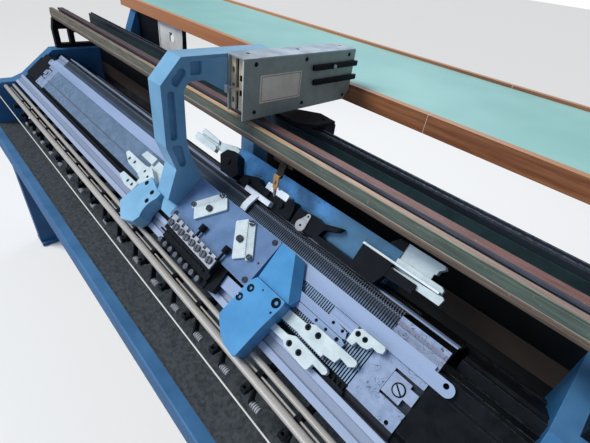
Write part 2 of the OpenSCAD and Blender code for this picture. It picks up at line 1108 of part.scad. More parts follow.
// strips and stops on the right of the front
module guide_strips() {
  color("WhiteSmoke") {
    ride()
      front_flat(6, 6)
        polygon([[84.89, 160], [152.75 + end_shift, 158], [151.47 + end_shift, 184],
          [87.78, 186]]);
    ride_end(1) {
      difference() {
        front_flat(6, 4)
          polygon([[152, 84], [330, 84], [352, 87], [358, 98], [352, 100], [152, 100]]);
        front_pin(323, 89, 5, 11, 3.2);
        front_pin(345, 90, 5, 11, 3.2);
      }
      difference() {
        front_flat(6, 4)
          polygon([[156, 101], [352, 101], [362, 105], [360, 113], [156, 113]]);
        front_pin(296, 106, 5, 11, 3.2);
        front_pin(320, 107, 5, 11, 3.2);
        front_pin(346, 107, 5, 11, 4);
      }
      front_run(308, 362)
        polygon([[66, 4.4], [66, 9], [68, 9], [68, 6], [79, 6], [79, 9], [84, 9],
          [84, 4.4]]);
    }
  }
}

// stepped white stop, drawn as (x, s)
module stop_a() {
  difference() {
    polygon([[274, 158], [289, 150], [366, 153], [371, 156], [371, 161], [366, 165],
      [343, 164], [341, 177], [337, 180], [283, 177], [276, 172]]);
    translate([287, 167])
      circle(r = 6);
    translate([311, 167])
      circle(r = 6);
  }
}

module stop_b() {
  difference() {
    polygon([[289, 121], [305, 112], [396, 111], [400, 114], [400, 120], [392, 127],
      [373, 125], [370, 137], [347, 140], [347, 146], [289, 144]]);
    translate([296, 124])
      circle(r = 6);
    translate([320, 123])
      circle(r = 6);
  }
}

module stop_c() {
  difference() {
    polygon([[362, 73], [372, 65], [418, 64], [421, 68], [421, 75], [413, 79], [402, 78],
      [398, 86], [388, 89], [377, 88], [375, 97], [362, 97]]);
    translate([371, 76])
      circle(r = 5);
    translate([386, 76])
      circle(r = 5);
  }
}

module front_stops_right() {
  color("Ivory")
    ride_end(1) {
      front_flat(5, 13)
        stop_a();
      front_flat(10, 9)
        stop_b();
      front_flat(4.4, 14)
        stop_c();
      front_flat(5, 9)
        polygon([[239.25, 160], [275, 158], [275, 172], [237.625, 173]]);
      front_flat(5, 5)
        polygon([[243, 124], [330, 120], [330, 142], [241, 146], [243, 130]]);
    }
}

module front_stops_left() {
  color("Ivory")
    ride_end(-1) {
      difference() {
        front_flat(6, 14)
          polygon([[-466, 115], [-460, 106], [-354, 106], [-346, 115], [-345, 137],
            [-423, 132]]);
        front_pin(-432, 121, 5, 21, 5);
        front_pin(-402, 119, 5, 21, 5);
      }
      difference() {
        front_flat(6, 12)
          polygon([[-420, 172], [-414, 158], [-330, 156], [-330, 180], [-372, 182]]);
        front_pin(-372, 168, 5, 21, 5);
        front_pin(-348, 168, 5, 21, 5);
      }
      front_flat(6, 12)
        polygon([[-405, 92], [-398, 74], [-340, 72], [-340, 94]]);
      front_flat(6, 5)
        polygon([[-350, 74], [-292, 76], [-273, 116], [-291, 148], [-299, 188],
          [-350, 178]]);
      difference() {
        front_flat(6, 22)
          polygon([[-352, 108], [-316, 100], [-280, 116], [-292, 146], [-344, 138]]);
        front_pin(-330, 118, 20, 30, 4);
        front_pin(-306, 124, 20, 30, 4);
      }
    }
}

// rear of the carriage
module rear_cam_box() {
  color("DodgerBlue")
    ride() {
      rear_run(-cam_x - 13, 334 + end_shift)
        polygon([[35, 20], [35, 84], [54, 84], [66, 34], [152, 34], [152, 6], [144, 6],
          [144, 22], [56, 22], [56, 14], [40, 14]]);
      rear_flat(6, 73.9)
        polygon([[-cam_x - bow_w, 70], [-cam_x, 70], [-cam_x, 140],
          [-cam_x - bow_w, 140]]);
      for (x = [-200 - end_shift, 190 + end_shift]) {
        rear_flat(14.3, 27)
          polygon([[x, 140], [x + 60, 140], [x + 54, 216], [x + 8, 216]]);
        rear_flat(run_gap, 20)
          rect(x + 8, x + 50, rail_s + 1, rail_s + 10);
        rear_flat(run_gap, 20)
          rect(x + 8, x + 50, rail_s + 30, rail_e - 1);
      }
    }
}

module rear_castings() {
  color("Black")
    ride() {
      translate([-end_shift, 0, 0]) {
        rear_wall(10, 25)
          polygon([[-190, 40], [-176, 60], [-150, 66], [-132, 62], [-118, 42], [-100, 24],
            [-112, 8], [-158, 6]]);
        rear_wall(6, 5)
          translate([-150, 36])
            circle(r = 7);
      }
      rear_wall(12, 23)
        polygon([[-88, 15], [-80, 34], [-40, 46], [-20, 36], [64, 36], [68, 46],
          [86, 48], [94, 30], [96, 8], [60, 5], [-60, 5]]);
      translate([end_shift, 0, 0]) {
        rear_wall(16, 19)
          polygon([[100, 6], [100, 42], [150, 48], [170, 44], [214, 58], [206, 46],
            [180, 34], [172, 8]]);
        rear_wall(10, 25)
          polygon([[270, 5], [270, 57], [336, 57], [336, 30], [326, 5]]);
        rear_wall(12, 7)
          polygon([[336, 30], [336, 49], [391, 49], [391, 32]]);
        rear_wall(35, 19)
          polygon([[304, 84], [304, 88], [316, 102], [334, 102], [334, 84]]);
        rear_wall(14, 21)
          rect(170, 272, 5, 18);
        rear_wall(11.7, 5)
          translate([128, 14])
            circle(r = 2.45);
      }
      for (p = [[-60, 22], [10, 27], [60, 24]]) {
        rear_wall(6, 5)
          translate(p)
            circle(r = 7);
      }
    }
}

module rear_bright_parts() {
  color("Silver")
    ride() {
      rear_run(-46, 40)
        polygon([[-2, 6], [-2, 16], [0, 18], [12, 18], [12, 6]]);
      front_run(-14, 4)
        polygon([[-5, 3], [-14.5, 5.6], [-6, 8], [10, 11], [22, 12], [34, 9], [34, 5],
          [22, 7], [4, 5]]);
      rear_wall(14, 16)
        polygon([[-8, 36], [-8, 50], [-6, 52], [26, 52], [26, 49], [34, 49], [34, 52],
          [61, 52], [63.5, 50], [63.5, 36]]);
      rear_run(266 + end_shift, 428 + end_shift)
        polygon([[16, 57], [16, 61], [30, 61], [30, 57]]);
    }
}

module rear_stops_right() {
  color("Ivory")
    ride_end(1) {
      rear_wall(38, 22)
        polygon([[334, 80], [334, 103], [408, 103], [412, 98], [404, 90], [404, 82],
          [396, 80]]);
      rear_wall(20, 10)
        polygon([[346, 43], [346, 51], [436, 57], [440, 54], [438, 41], [393, 41],
          [391, 47]]);
      rear_wall(30.5, 14)
        polygon([[337, 52], [337, 57], [334, 57], [334, 70], [424, 70], [430, 66],
          [430, 52]]);
      rear_wall(38, 6)
        rect(334, 400, 66, 82);
      rear_wall(20, 10)
        rect(336, 347, 43, 51);
    }
}

module rear_stops_left() {
  color("Ivory")
    ride_end(-1) {
      rear_wall(22, 12)
        polygon([[-328, 40], [-328, 54], [-236, 50], [-228, 44], [-228, 34], [-318, 34]]);
      rear_wall(35, 14)
        polygon([[-250, 44], [-244, 64], [-180, 78], [-161, 74], [-161, 44]]);
      rear_wall(28, 10)
        polygon([[-320, 58], [-316, 72], [-240, 66], [-236, 58]]);
      rear_wall(34, 4)
        polygon([[-320, 36], [-320, 70], [-240, 66], [-240, 36]]);
    }
}

module rear_bearing() {
  color("Black")
    ride()
      difference() {
        union() {
          translate([0, 0, 127])
            linear_extrude(9)
              polygon([[-cam_x - bow_w, 155], [-60, 155], [-20, 190], [-14, 250],
                [-70, 256], [-cam_x, 200], [-cam_x - bow_w, 196]]);
          box(-68, -14, 215.3, 254, 96, 127);
        }
        translate([-36, 231, 90])
          cylinder(h = 60, r = 6);
      }
}

module teardrop_lever() {
  color("Gray")
    ride_end(1)
      rear_wall(12.7, 3)
        difference() {
          union() {
            translate([128, 14])
              circle(r = 13);
            polygon([[115.2, 16], [140.9, 15], [139.5, 38.5], [128.2, 38]]);
            translate([133.8, 38])
              circle(r = 6);
          }
          translate([133.8, 38])
            circle(r = 2.4);
          translate([128, 14])
            circle(r = 2.5);
        }
}

// yarn feeder
// carrier box on the front yarn rail with a long arm and a brass tip
feeder_x = 55;

module yarn_feeder() {
  color("Goldenrod")
    ride()
      translate([feeder_x, 0, 0]) {
        run_x(-56, 4)
          polygon([[46, 92], [71, 92], [71, 131], [57.4, 131], [57.4, 126.5],
            [55.2, 125], [55.2, 117], [57.4, 115.5], [57.4, 101.6], [46, 101.6]]);
        translate([0, 0, 92])
          linear_extrude(6)
            polygon([[-38, 52], [-19, 52], [18, 6], [18, -1], [3, -1], [0, 6]]);
        translate([-26, 47, 84])
          cylinder(h = 9, r = 5);
        run_y(-4, -1)
          difference() {
            polygon([[3, 98], [18, 98], [17, 76], [12, 66], [2, 66], [2, 84]]);
            translate([9, 78])
              circle(r = 2.4);
            translate([10.5, 84])
              circle(r = 2.4);
            polygon([[6.7, 78.6], [11.3, 77.4], [12.8, 83.4], [8.2, 84.6]]);
          }
        translate([6, -0.5, 53])
          difference() {
            cylinder(h = 18, r = 3.6);
            translate([0, 0, -1])
              cylinder(h = 10, r = 1.4);
          }
        translate([6, -0.5, 45])
          difference() {
            cylinder(h = 8, r1 = 1.9, r2 = 3.2);
            translate([0, 0, -1])
              cylinder(h = 10, r = 1.2);
          }
      }
}

left_stand();
right_stand();
rear_tie();
front_bed_beam();
rear_bed_beam();
front_needle_bed();
front_needles();
front_bed_band();
front_spring_row();
bed_end_plates();
clamp_blocks();
front_guide_rail();
front_rod();
second_rod();
tension_brackets();
ribbed_knobs();
pull_rod();
front_tray();
blue_rim();
yarn_rail_front();
yarn_rail_rear();
rail_posts();
rear_guide_rail();
rear_panel();
table_top();
table_edge();
side_bracket();
rear_needle_bed();
rear_needles();
rear_bed_band();
cam_plate();
front_cams();
index_strips();
left_bracket();
right_bracket();
wedge_plate();
bow_arm();
head_box();
head_top();
head_selectors();
selector_plate();
selector_base();
selector_heads();
knurled_pins();
guide_strips();
front_stops_right();
front_stops_left();
rear_cam_box();
rear_castings();
rear_bright_parts();
rear_stops_right();
rear_stops_left();
rear_bearing();
stitch_plate_left();
stitch_plate_right();
carrier_slider_upper();
carrier_slider_lower();
teardrop_lever();
head_lever();
yarn_feeder();
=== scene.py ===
# %% [markdown]
# # Dressing a flat knitting machine
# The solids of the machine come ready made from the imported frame, at real size.
# This lesson gives each of them the finish of the real one, adds the small things
# that are too fine for the solids, and sets a camera, a floor and soft studio light.
# The scene is in metres: X runs along the needle beds, Y to the yarn table, Z up.
# Sizes in the tables are millimetres, as on a workshop drawing, and divided by MM.

# %% Load the frame
import math
import bmesh
import bpy
from mathutils import Matrix, Vector


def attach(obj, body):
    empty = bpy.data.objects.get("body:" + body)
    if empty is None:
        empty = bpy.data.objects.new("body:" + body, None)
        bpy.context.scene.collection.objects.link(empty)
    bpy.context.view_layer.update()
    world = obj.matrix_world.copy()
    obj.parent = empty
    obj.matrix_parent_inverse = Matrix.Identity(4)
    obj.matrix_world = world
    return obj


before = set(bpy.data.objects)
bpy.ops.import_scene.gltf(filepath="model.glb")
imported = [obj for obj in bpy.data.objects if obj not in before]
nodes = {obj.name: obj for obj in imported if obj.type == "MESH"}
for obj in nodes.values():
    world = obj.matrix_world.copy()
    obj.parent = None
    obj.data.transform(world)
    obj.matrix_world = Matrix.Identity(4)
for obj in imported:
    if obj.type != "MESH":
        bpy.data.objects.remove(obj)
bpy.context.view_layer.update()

MM = 1000

# %% [markdown]
# ## Camera
# The photograph was taken from above the right front of the machine with a wide
# lens. A camera is just a place, three directions and a lens, so those are written
# down directly instead of aiming it with a constraint, which could drift later.

# %% Camera
camera_data = bpy.data.cameras.new("camera")
camera_data.lens = 23.01
camera_data.sensor_width = 36.0
camera_data.clip_start = 0.05
camera = bpy.data.objects.new("camera", camera_data)
bpy.context.collection.objects.link(camera)
camera_place = (0.959, -0.7571, 1.473)
right = Vector((0.6728, 0.7314, 0.1112))
up = Vector((-0.4956, 0.3340, 0.8017))
back = right.cross(up).normalized()
up = back.cross(right.normalized())
turn = Matrix((right.normalized(), up, back)).transposed().to_4x4()
camera.matrix_world = Matrix.Translation(camera_place) @ turn
bpy.context.scene.camera = camera
print("camera", [round(v, 3) for v in camera.location])

# %% [markdown]
# ## Colours
# Artists pick colours on a screen, in sRGB, but the renderer adds up light, which is
# linear. One function turns the one into the other, so that every colour below can be
# written as the six digits of a colour chart.

# %% Colour helper
def tint(code):
    channels = [int(code[i:i + 2], 16) / 255 for i in (0, 2, 4)]
    linear = [c / 12.92 if c <= 0.04045 else ((c + 0.055) / 1.055) ** 2.4 for c in channels]
    return (*linear, 1.0)


print("middle grey 808080 is", round(tint("808080")[0], 3), "in linear light")

# %% [markdown]
# ## Nodes
# A finish is a small net of shader nodes. Made one by one they fill pages, so add()
# makes a node with its settings and links in one call. Every finish starts from the
# Object coordinates: the solids stand at the origin, so these are real metres, and a
# pattern keeps its place on a part when that part moves.

# %% Node makers
def add(tree, kind, plugs=None, stops=None, **settings):
    made = tree.nodes.new("ShaderNode" + kind)
    for name, value in settings.items():
        setattr(made, name, value)
    for socket, value in (plugs or {}).items():
        if isinstance(value, bpy.types.NodeSocket):
            tree.links.new(value, made.inputs[socket])
        else:
            made.inputs[socket].default_value = value
    if stops:
        elements = made.color_ramp.elements
        while len(elements) < len(stops):
            elements.new(1.0)
        for element, (place, code) in zip(elements, stops):
            element.position = place
            element.color = tint(code)
    return made


def start(name):
    material = bpy.data.materials.new(name)
    material.use_nodes = True
    tree = material.node_tree
    place = add(tree, "TexCoord").outputs["Object"]
    return material, tree, tree.nodes["Principled BSDF"], place


def drawn_on(material):
    tree = material.node_tree
    return tree, tree.nodes["Texture Coordinate"].outputs["Object"]


print("node makers ready")

# %% [markdown]
# ## Words for the steps that come back
# Most finishes use the same few steps, so each gets a word. noise() is cloudy and its
# scale counts waves in a metre. fade() goes from one value to another between two
# levels. calc() is arithmetic, ramp() a row of colours, mix() puts one colour over
# another, facing() tells which way a surface looks, relief() makes fine bumps, lay()
# draws a pattern out along an axis, and wire() plugs the results into the shader.

# %% Steps of a finish
def noise(tree, place, per_metre, detail, roughness=0.5, distortion=0.0):
    plugs = {"Vector": place, "Scale": per_metre, "Detail": detail, "Roughness": roughness,
             "Distortion": distortion}
    return add(tree, "TexNoise", plugs).outputs["Fac"]


def fade(tree, value, low, high, first=0.0, last=1.0):
    return add(tree, "MapRange", {0: value, 1: low, 2: high, 3: first, 4: last}).outputs[0]


def calc(tree, operation, *values):
    return add(tree, "Math", dict(enumerate(values)), operation=operation).outputs[0]


def ramp(tree, value, stops):
    return add(tree, "ValToRGB", {0: value}, stops=stops).outputs[0]


def mix(tree, amount, under, over, blend="MIX"):
    return add(tree, "Mix", {0: amount, 6: under, 7: over}, data_type="RGBA",
               blend_type=blend).outputs[2]


def facing(tree, axis):
    normal = add(tree, "NewGeometry").outputs["Normal"]
    return add(tree, "SeparateXYZ", {0: normal}).outputs[axis]


def relief(tree, height, depth_mm, strength=1.0):
    return add(tree, "Bump", {"Strength": strength, "Distance": depth_mm / MM,
                              "Height": height})


def lay(tree, place, stretch):
    return add(tree, "Mapping", {"Vector": place, "Scale": stretch}).outputs[0]


def wire(tree, shader, colour, shine, bump):
    tree.links.new(colour, shader.inputs["Base Color"])
    tree.links.new(shine, shader.inputs["Roughness"])
    tree.links.new(bump.outputs[0], shader.inputs["Normal"])


print("steps ready")

# %% [markdown]
# ## Layers of wear, and a painted edge highlight
# Painted castings, ground steel and black iron differ in colour and shine, but they
# age alike. Specks of oil stick anywhere, dust settles on what faces up, and hands and
# rags rub the edges through to a lighter tone. That lighter edge is partly wear and
# partly a painted highlight, standing in for the light that catches a rounded edge.
# An edge is found by the Bevel node: it bends the normal near an edge, so where bent
# and true normal differ, an edge is near.

# %% Layers of wear and a painted edge highlight
def speckled(tree, place, colour, code, size_mm, amount):
    softness, strength = 0.06, 0.85
    dots = noise(tree, place, MM / size_mm, 6, 0.7)
    mask = fade(tree, dots, amount, amount + softness, 0.0, strength)
    return mix(tree, mask, colour, tint(code))


def dusted(tree, patch, colour, code, amount):
    steepest, level = 0.45, 1.0
    settled = fade(tree, facing(tree, "Z"), steepest, level, 0.0, amount)
    return mix(tree, calc(tree, "MULTIPLY", settled, patch), colour, tint(code))


def bent_normal(tree, edge_mm):
    return add(tree, "Bevel", {"Radius": edge_mm / MM}, samples=4).outputs[0]


# Lightens the edges: partly rubbed wear, partly a painted highlight.
def rubbed_and_highlit(tree, place, colour, code, edge_mm, amount):
    on_a_face, on_an_edge, scars_per_metre = 0.98, 0.85, 120.0
    normal = add(tree, "NewGeometry").outputs["Normal"]
    agree = add(tree, "VectorMath", {0: bent_normal(tree, edge_mm), 1: normal},
                operation="DOT_PRODUCT").outputs["Value"]
    edge = fade(tree, agree, on_a_face, on_an_edge)
    broken = fade(tree, noise(tree, place, scars_per_metre, 3), 0.35, 0.65, 0.0, amount)
    return mix(tree, calc(tree, "MULTIPLY", edge, broken), colour, tint(code))


print("layers of wear ready")

# %% [markdown]
# ## A worn surface
# One function lays those layers over a base whose colour and shine drift in soft
# patches, and adds a fine grain that breaks the highlights. A stretch below 1 draws
# the pattern out along X into the long marks of grinding. Every size is in real
# millimetres, so a finish fits a screw and a casting alike. Noise keeps mostly between
# 0.3 and 0.7, so those levels, or ones close to them, are the ends of each fade.

# %% The worn surface
def worn(name, colours, patch_mm, rough, metallic=0.0, coat=0.0, specular=0.5,
         grain_mm=0.8, grain_depth_mm=0.03, stretch=(1, 1, 1),
         edge=None, edge_mm=1.2, edge_keep=0.5, dust=None, dust_amount=0.0,
         speck=None, speck_mm=6.0, speck_amount=0.62):
    material, tree, shader, place = start(name)
    laid = lay(tree, place, stretch)
    patch = noise(tree, laid, MM / patch_mm, 5, 0.6)
    colour = ramp(tree, patch, [(0.36, colours[0]), (0.64, colours[1])])
    if speck:
        colour = speckled(tree, place, colour, speck, speck_mm, speck_amount)
    if dust:
        colour = dusted(tree, patch, colour, dust, dust_amount)
    if edge:
        colour = rubbed_and_highlit(tree, place, colour, edge, edge_mm, edge_keep)
    shine = fade(tree, patch, 0.3, 0.7, rough[0], rough[1])
    bump = relief(tree, noise(tree, laid, MM / grain_mm, 3), grain_depth_mm)
    if edge:
        tree.links.new(bent_normal(tree, edge_mm), bump.inputs["Normal"])
    wire(tree, shader, colour, shine, bump)
    shader.inputs["Metallic"].default_value = metallic
    shader.inputs["Coat Weight"].default_value = coat
    shader.inputs["Coat Roughness"].default_value = 0.2
    shader.inputs["Specular IOR Level"].default_value = specular
    print("finish", name)
    return material


print("worn() ready")

# %% [markdown]
# ## Painted castings
# The stands, end castings and bow are cast iron under blue enamel, brushed on and
# touched up over the years, so no two castings have the same blue. It is smooth but not
# a mirror, lighter where hands rub the edges, and greyer where lint has settled. The
# cam plate is a slate blue of its own with a duller shine.

# %% Enamels
blue_enamel = worn("blue_enamel", ("6CA5CB", "7EB4DA"), 90, (0.30, 0.45), coat=0.25,
                   grain_mm=2.2, grain_depth_mm=0.05, edge="B9D3E2", edge_keep=0.75,
                   dust="9FB4BF", dust_amount=0.4, speck="2F4C63", speck_mm=3.0,
                   speck_amount=0.70)
bright_enamel = worn("bright_blue_enamel", ("4085BC", "4E95CC"), 80, (0.3, 0.45), coat=0.15,
                     grain_mm=2.0, grain_depth_mm=0.05, edge="9CCBF0", edge_keep=0.6,
                     speck="234E78", speck_mm=3.0, speck_amount=0.70)
# Used on the rear cam box; its right half is painted darker further on, as painted shade.
grimy_and_shaded_enamel = worn("grimy_and_shaded_blue_enamel", ("2E5C88", "4A8CCC"), 60, (0.3, 0.45), coat=0.15,
                    grain_mm=2.0, grain_depth_mm=0.05, edge="9CCBF0", edge_keep=0.6,
                    speck="27333C", speck_mm=12.0, speck_amount=0.60)
deep_enamel = worn("stand_enamel", ("275E8E", "336FA2"), 120, (0.35, 0.5), coat=0.1,
                   grain_mm=2.4, edge="8FB4CC", edge_keep=0.5, dust="8797A0",
                   dust_amount=0.2)
cam_enamel = worn("slate_enamel", ("59779F", "6A87B0"), 45, (0.35, 0.5), metallic=0.1,
                  coat=0.1, grain_mm=0.9, edge="C4CCDD", edge_keep=0.8, speck="3A4258",
                  speck_mm=5.0, speck_amount=0.66)

# %% [markdown]
# ## Steels
# Bands, rails and rods are ground or drawn steel, so their colour is almost that of the
# room. They differ by how they were worked and how oily they are, which shows as
# roughness and as the direction of the grain. They are only partly metallic here: in a
# pale studio a full metal would mirror white and lose the blue of the photograph.

# %% Steels
band_steel = worn("band_steel", ("8AA0C4", "9CB0D2"), 60, (0.4, 0.52), metallic=0.15,
                  stretch=(0.08, 1, 1), grain_mm=0.6, speck="8A8FA3", speck_mm=8.0,
                  speck_amount=0.66)
rail_steel = worn("rail_steel", ("98A8C4", "AABAD6"), 55, (0.36, 0.5), metallic=0.2,
                  stretch=(0.05, 1, 1), grain_mm=0.8, speck="6A6E80", speck_mm=10.0,
                  speck_amount=0.66)
rod_steel = worn("drawn_rod_steel", ("B6B2AA", "CECAC4"), 40, (0.25, 0.36), metallic=0.35,
                 stretch=(0.04, 1, 1), grain_mm=0.6, speck="6B5B4A", speck_mm=6.0,
                 speck_amount=0.70)
bright_steel = worn("bright_steel", ("B0B6C0", "C8CED8"), 25, (0.3, 0.45), metallic=0.35,
                    grain_mm=0.6, edge="F2F3F5", edge_keep=0.6, edge_mm=0.6)
needle_steel = worn("needle_steel", ("8F939D", "AEB2BC"), 12, (0.28, 0.45), metallic=0.9,
                    grain_mm=0.8)
dull_heads = worn("dull_screw_heads", ("545A64", "767C86"), 8, (0.35, 0.5), metallic=0.4,
                  grain_mm=0.6, edge="A9AEB6", edge_keep=0.7, edge_mm=0.7)

# %% [markdown]
# ## Black iron
# Bed beams, posts and selector blocks are oiled iron, almost black with a bluish shine
# and a little brown lint. Oil soaks into the skin of the iron, so it mirrors less than
# paint would, and its specular level is halved. Springs are thinner and brighter.

# %% Black iron
black_iron = worn("oiled_black_iron", ("090C10", "151A20"), 26, (0.45, 0.65), metallic=0.2,
                  specular=0.25, grain_mm=1.6, grain_depth_mm=0.09, edge="79818C",
                  edge_keep=0.6, dust="4E4B48", dust_amount=0.12)
black_spring = worn("black_spring_steel", ("0F1114", "23272C"), 8, (0.3, 0.5), metallic=0.5,
                    grain_mm=1.0)
# The light lines along this rail's edges are partly wear and partly a painted highlight, the
# glint of its edges.
guide_iron = worn("guide_rail_iron", ("20262E", "38414C"), 40, (0.28, 0.45), metallic=0.6,
                  stretch=(0.06, 1, 1), grain_mm=1.0, edge="B4BDCA", edge_mm=2.0,
                  edge_keep=1.0)

# %% [markdown]
# ## Plastics and small plates
# The stops are moulded nylon, off-white, so they get a pale tone and a soft shine. The
# index strips are satin aluminium, the knobs a ribbed grey plastic that has gone dull
# in the grooves, and the thin rod over the tray is painted white.

# %% Plastics and small plates
white_satin = worn("white_satin_block", ("CEDCEC", "E2ECF6"), 20, (0.35, 0.5), grain_mm=1.2,
                   edge="F4F7FA", edge_keep=0.5, speck="7C828C", speck_mm=5.0,
                   speck_amount=0.68)
stop_nylon = worn("moulded_nylon", ("B4C6CE", "C8D8DE"), 30, (0.35, 0.5), grain_mm=1.5,
                  edge="FFFFFF", edge_keep=0.4, speck="8F8B80", speck_mm=7.0,
                  speck_amount=0.69)
index_satin = worn("satin_aluminium", ("BACAD2", "CCDAE0"), 20, (0.35, 0.48), metallic=0.2,
                   grain_mm=0.6, edge="FFFFFF", edge_keep=0.5, edge_mm=0.5)
knob_plastic = worn("ribbed_grey_plastic", ("8C9299", "A5ABB0"), 15, (0.4, 0.55),
                    grain_mm=1.0, edge="D8DBDD", edge_keep=0.6, edge_mm=0.6)
white_paint = worn("white_gloss_paint", ("CFD2D0", "E3E5E2"), 40, (0.3, 0.45), coat=0.2,
                   grain_mm=1.4, edge="A9A8A2", edge_keep=0.5)

# %% [markdown]
# ## Plates and sheets
# The head box has a hammered grey face, a satin top and zinc selector plates with a tan
# passivation. Round the machine are a dusty dark tray, a sheet behind the beds coloured
# dark teal, which is painted shade standing for blue paint in shadow, and a light plate
# under the table. The hammer finish is coarse and deep grain.

# %% Plates and sheets
# The near-white edges of this plate are mostly a painted highlight.
head_hammered = worn("hammered_grey_plate", ("9AA6A0", "AAB6AE"), 30, (0.4, 0.52),
                     metallic=0.25, grain_mm=2.4, grain_depth_mm=0.12, edge="DDE3E3",
                     edge_keep=1.0, edge_mm=2.6)
head_satin = worn("satin_head_plate", ("AEB8C0", "C6CFD4"), 40, (0.28, 0.42), metallic=0.6,
                  grain_mm=0.9, edge="EEF2F0", edge_keep=0.9)
tan_zinc = worn("tan_zinc_plate", ("D2C2A6", "E6DAC4"), 10, (0.4, 0.52), metallic=0.25,
                grain_mm=0.9, edge="E3D6BD", edge_keep=0.8, edge_mm=0.8)
tray_sheet = worn("dusty_tray_sheet", ("272D31", "474E53"), 9, (0.5, 0.7), metallic=0.2,
                  grain_mm=2.0, grain_depth_mm=0.05, dust="646B70", dust_amount=0.5,
                  speck="7C8388", speck_mm=5.0, speck_amount=0.66)
# Painted shade: the sheet's dark teal is blue paint as it looks in shadow.
shaded_rear_sheet = worn("rear_sheet_painted_shade", ("1D3033", "2C4347"), 60, (0.4, 0.6), metallic=0.2,
                   grain_mm=1.8, edge="5B7377", edge_keep=0.5)
side_plate = worn("light_side_plate", ("D6DADC", "ECEEEE"), 40, (0.3, 0.45), coat=0.2,
                  grain_mm=1.4, edge="7C7B76", edge_keep=0.6, speck="6F6A62", speck_mm=9.0,
                  speck_amount=0.66)

# %% [markdown]
# ## Where a point lies on the beds
# On a needle bed the colour depends on the place: walls are bright, the milled tricks
# are painted black as painted shade, and a brown film lies where the cams never wipe.
# Two distances tell where a point is: its drop down the slope from the throat, and how
# far it lies above the bed surface. Both come from Y and Z alone, and taking Y without
# its sign serves both beds at once.

# %% Distances on the beds
slope = math.radians(38)
ca, sa = math.cos(slope), math.sin(slope)
throat_y, throat_z = -299.5, 1000
carriage_x = 407
bed_normal = (0.0, -sa, ca)


def bed_point(x, s, h=0.0):
    return Vector((x, -s * ca - h * sa + throat_y, -s * sa + h * ca + throat_z)) / MM


def bed_distances(tree, place):
    split = add(tree, "SeparateXYZ", {0: place}).outputs
    aside = calc(tree, "ABSOLUTE", calc(tree, "SUBTRACT", split["Y"], throat_y / MM))
    level = calc(tree, "SUBTRACT", split["Z"], throat_z / MM)
    drop = calc(tree, "MULTIPLY_ADD", level, -sa, calc(tree, "MULTIPLY", aside, ca))
    above = calc(tree, "MULTIPLY_ADD", aside, sa, calc(tree, "MULTIPLY", level, ca))
    return {"drop": drop, "above": above}


print("a point 100 mm down the front bed:", [round(v, 4) for v in bed_point(0, 100)])

# %% [markdown]
# ## Painting by place
# A mask is a number that is 1 where a colour goes and 0 elsewhere. band() is 1 between
# two levels of a measure and soft at its ends; the measure is X, Y or Z, or one of the
# two bed distances. near_axis() is 1 in a ring round a screw. cover() lays a colour on a
# finish through a mask, and paint() does that for a table of bands, each row with its
# measure, two levels, softness, strength and colour. Drawing them so needs no picture
# and no cut in the solid, and the marks stay sharp close up.

# %% Masks
def band(material, measure, low, high, soft, strength=1.0):
    tree, place = drawn_on(material)
    if measure in ("X", "Y", "Z"):
        value = add(tree, "SeparateXYZ", {0: place}).outputs[measure]
    else:
        value = bed_distances(tree, place)[measure]
    rise = fade(tree, value, (low - soft) / MM, (low + soft) / MM, 0.0, strength)
    fall = fade(tree, value, (high - soft) / MM, (high + soft) / MM, 1.0, 0.0)
    return calc(tree, "MULTIPLY", rise, fall)


def near_axis(material, spots, inner, outer):
    tree, place = drawn_on(material)
    total = None
    for spot in spots:
        away = add(tree, "VectorMath", {0: place, 1: spot}, operation="SUBTRACT").outputs[0]
        arm = add(tree, "VectorMath", {0: away, 1: bed_normal},
                  operation="CROSS_PRODUCT").outputs[0]
        reach = add(tree, "VectorMath", {0: arm}, operation="LENGTH").outputs["Value"]
        ring = calc(tree, "MULTIPLY", calc(tree, "GREATER_THAN", reach, inner / MM),
                    calc(tree, "LESS_THAN", reach, outer / MM))
        total = ring if total is None else calc(tree, "MAXIMUM", total, ring)
    return total


def cover(material, mask, code):
    tree = material.node_tree
    base = tree.nodes["Principled BSDF"].inputs["Base Color"]
    tree.links.new(mix(tree, mask, base.links[0].from_socket, tint(code)), base)


def paint(material, rows):
    for measure, low, high, soft, strength, code in rows:
        cover(material, band(material, measure, low, high, soft, strength), code)
    print(material.name, "has", len(rows), "painted bands")


print("masks ready")

# %% [markdown]
# ## Needle beds
# Seen from above, the comb of the front bed is painted dark near the throat, darkest
# there, as painted shade for the shadows between its teeth; it is brown below the reach
# of the cams, and black down in the tricks as painted shade. The rear bed is in shade
# and browner, and its tricks are black as painted shade too. A texture of tricks would
# shimmer and miss the cut ones, so the finish asks each point how deep it lies.

# %% Needle beds
whole_bed, far_below = 300, -200
front_comb = worn("front_comb_steel", ("809AB8", "92ACCC"), 26, (0.42, 0.56), metallic=0.15,
                  grain_mm=0.7, speck="6B6459", speck_mm=8.0, speck_amount=0.65)
# Rows one and two are painted shade near the throat; row four is painted shade in the tricks.
paint(front_comb, [("drop", -10, 64, 4, 0.65, "2C323E"),
                   ("drop", 6, 24, 3, 0.6, "2F343C"),
                   ("drop", 150, whole_bed, 0.8, 0.9, "3A322C"),
                   ("above", far_below, -1.6, 0.8, 1.0, "07080A")])
rear_comb = worn("rear_comb_steel", ("4A4E57", "646A73"), 20, (0.4, 0.55), metallic=0.3,
                 grain_mm=0.7, speck="6B4A30", speck_mm=5.0, speck_amount=0.6)
# The last row is painted shade in the tricks.
paint(rear_comb, [("drop", 8, whole_bed, 2, 0.8, "5A4C46"),
                  ("above", far_below, -1.6, 0.8, 1.0, "07080A")])

# %% [markdown]
# ## Needles
# The needles are steel, but oil makes their stems almost black. The yarn polishes the
# hooks at the throat and the cams polish the butts, which stand highest above the bed.

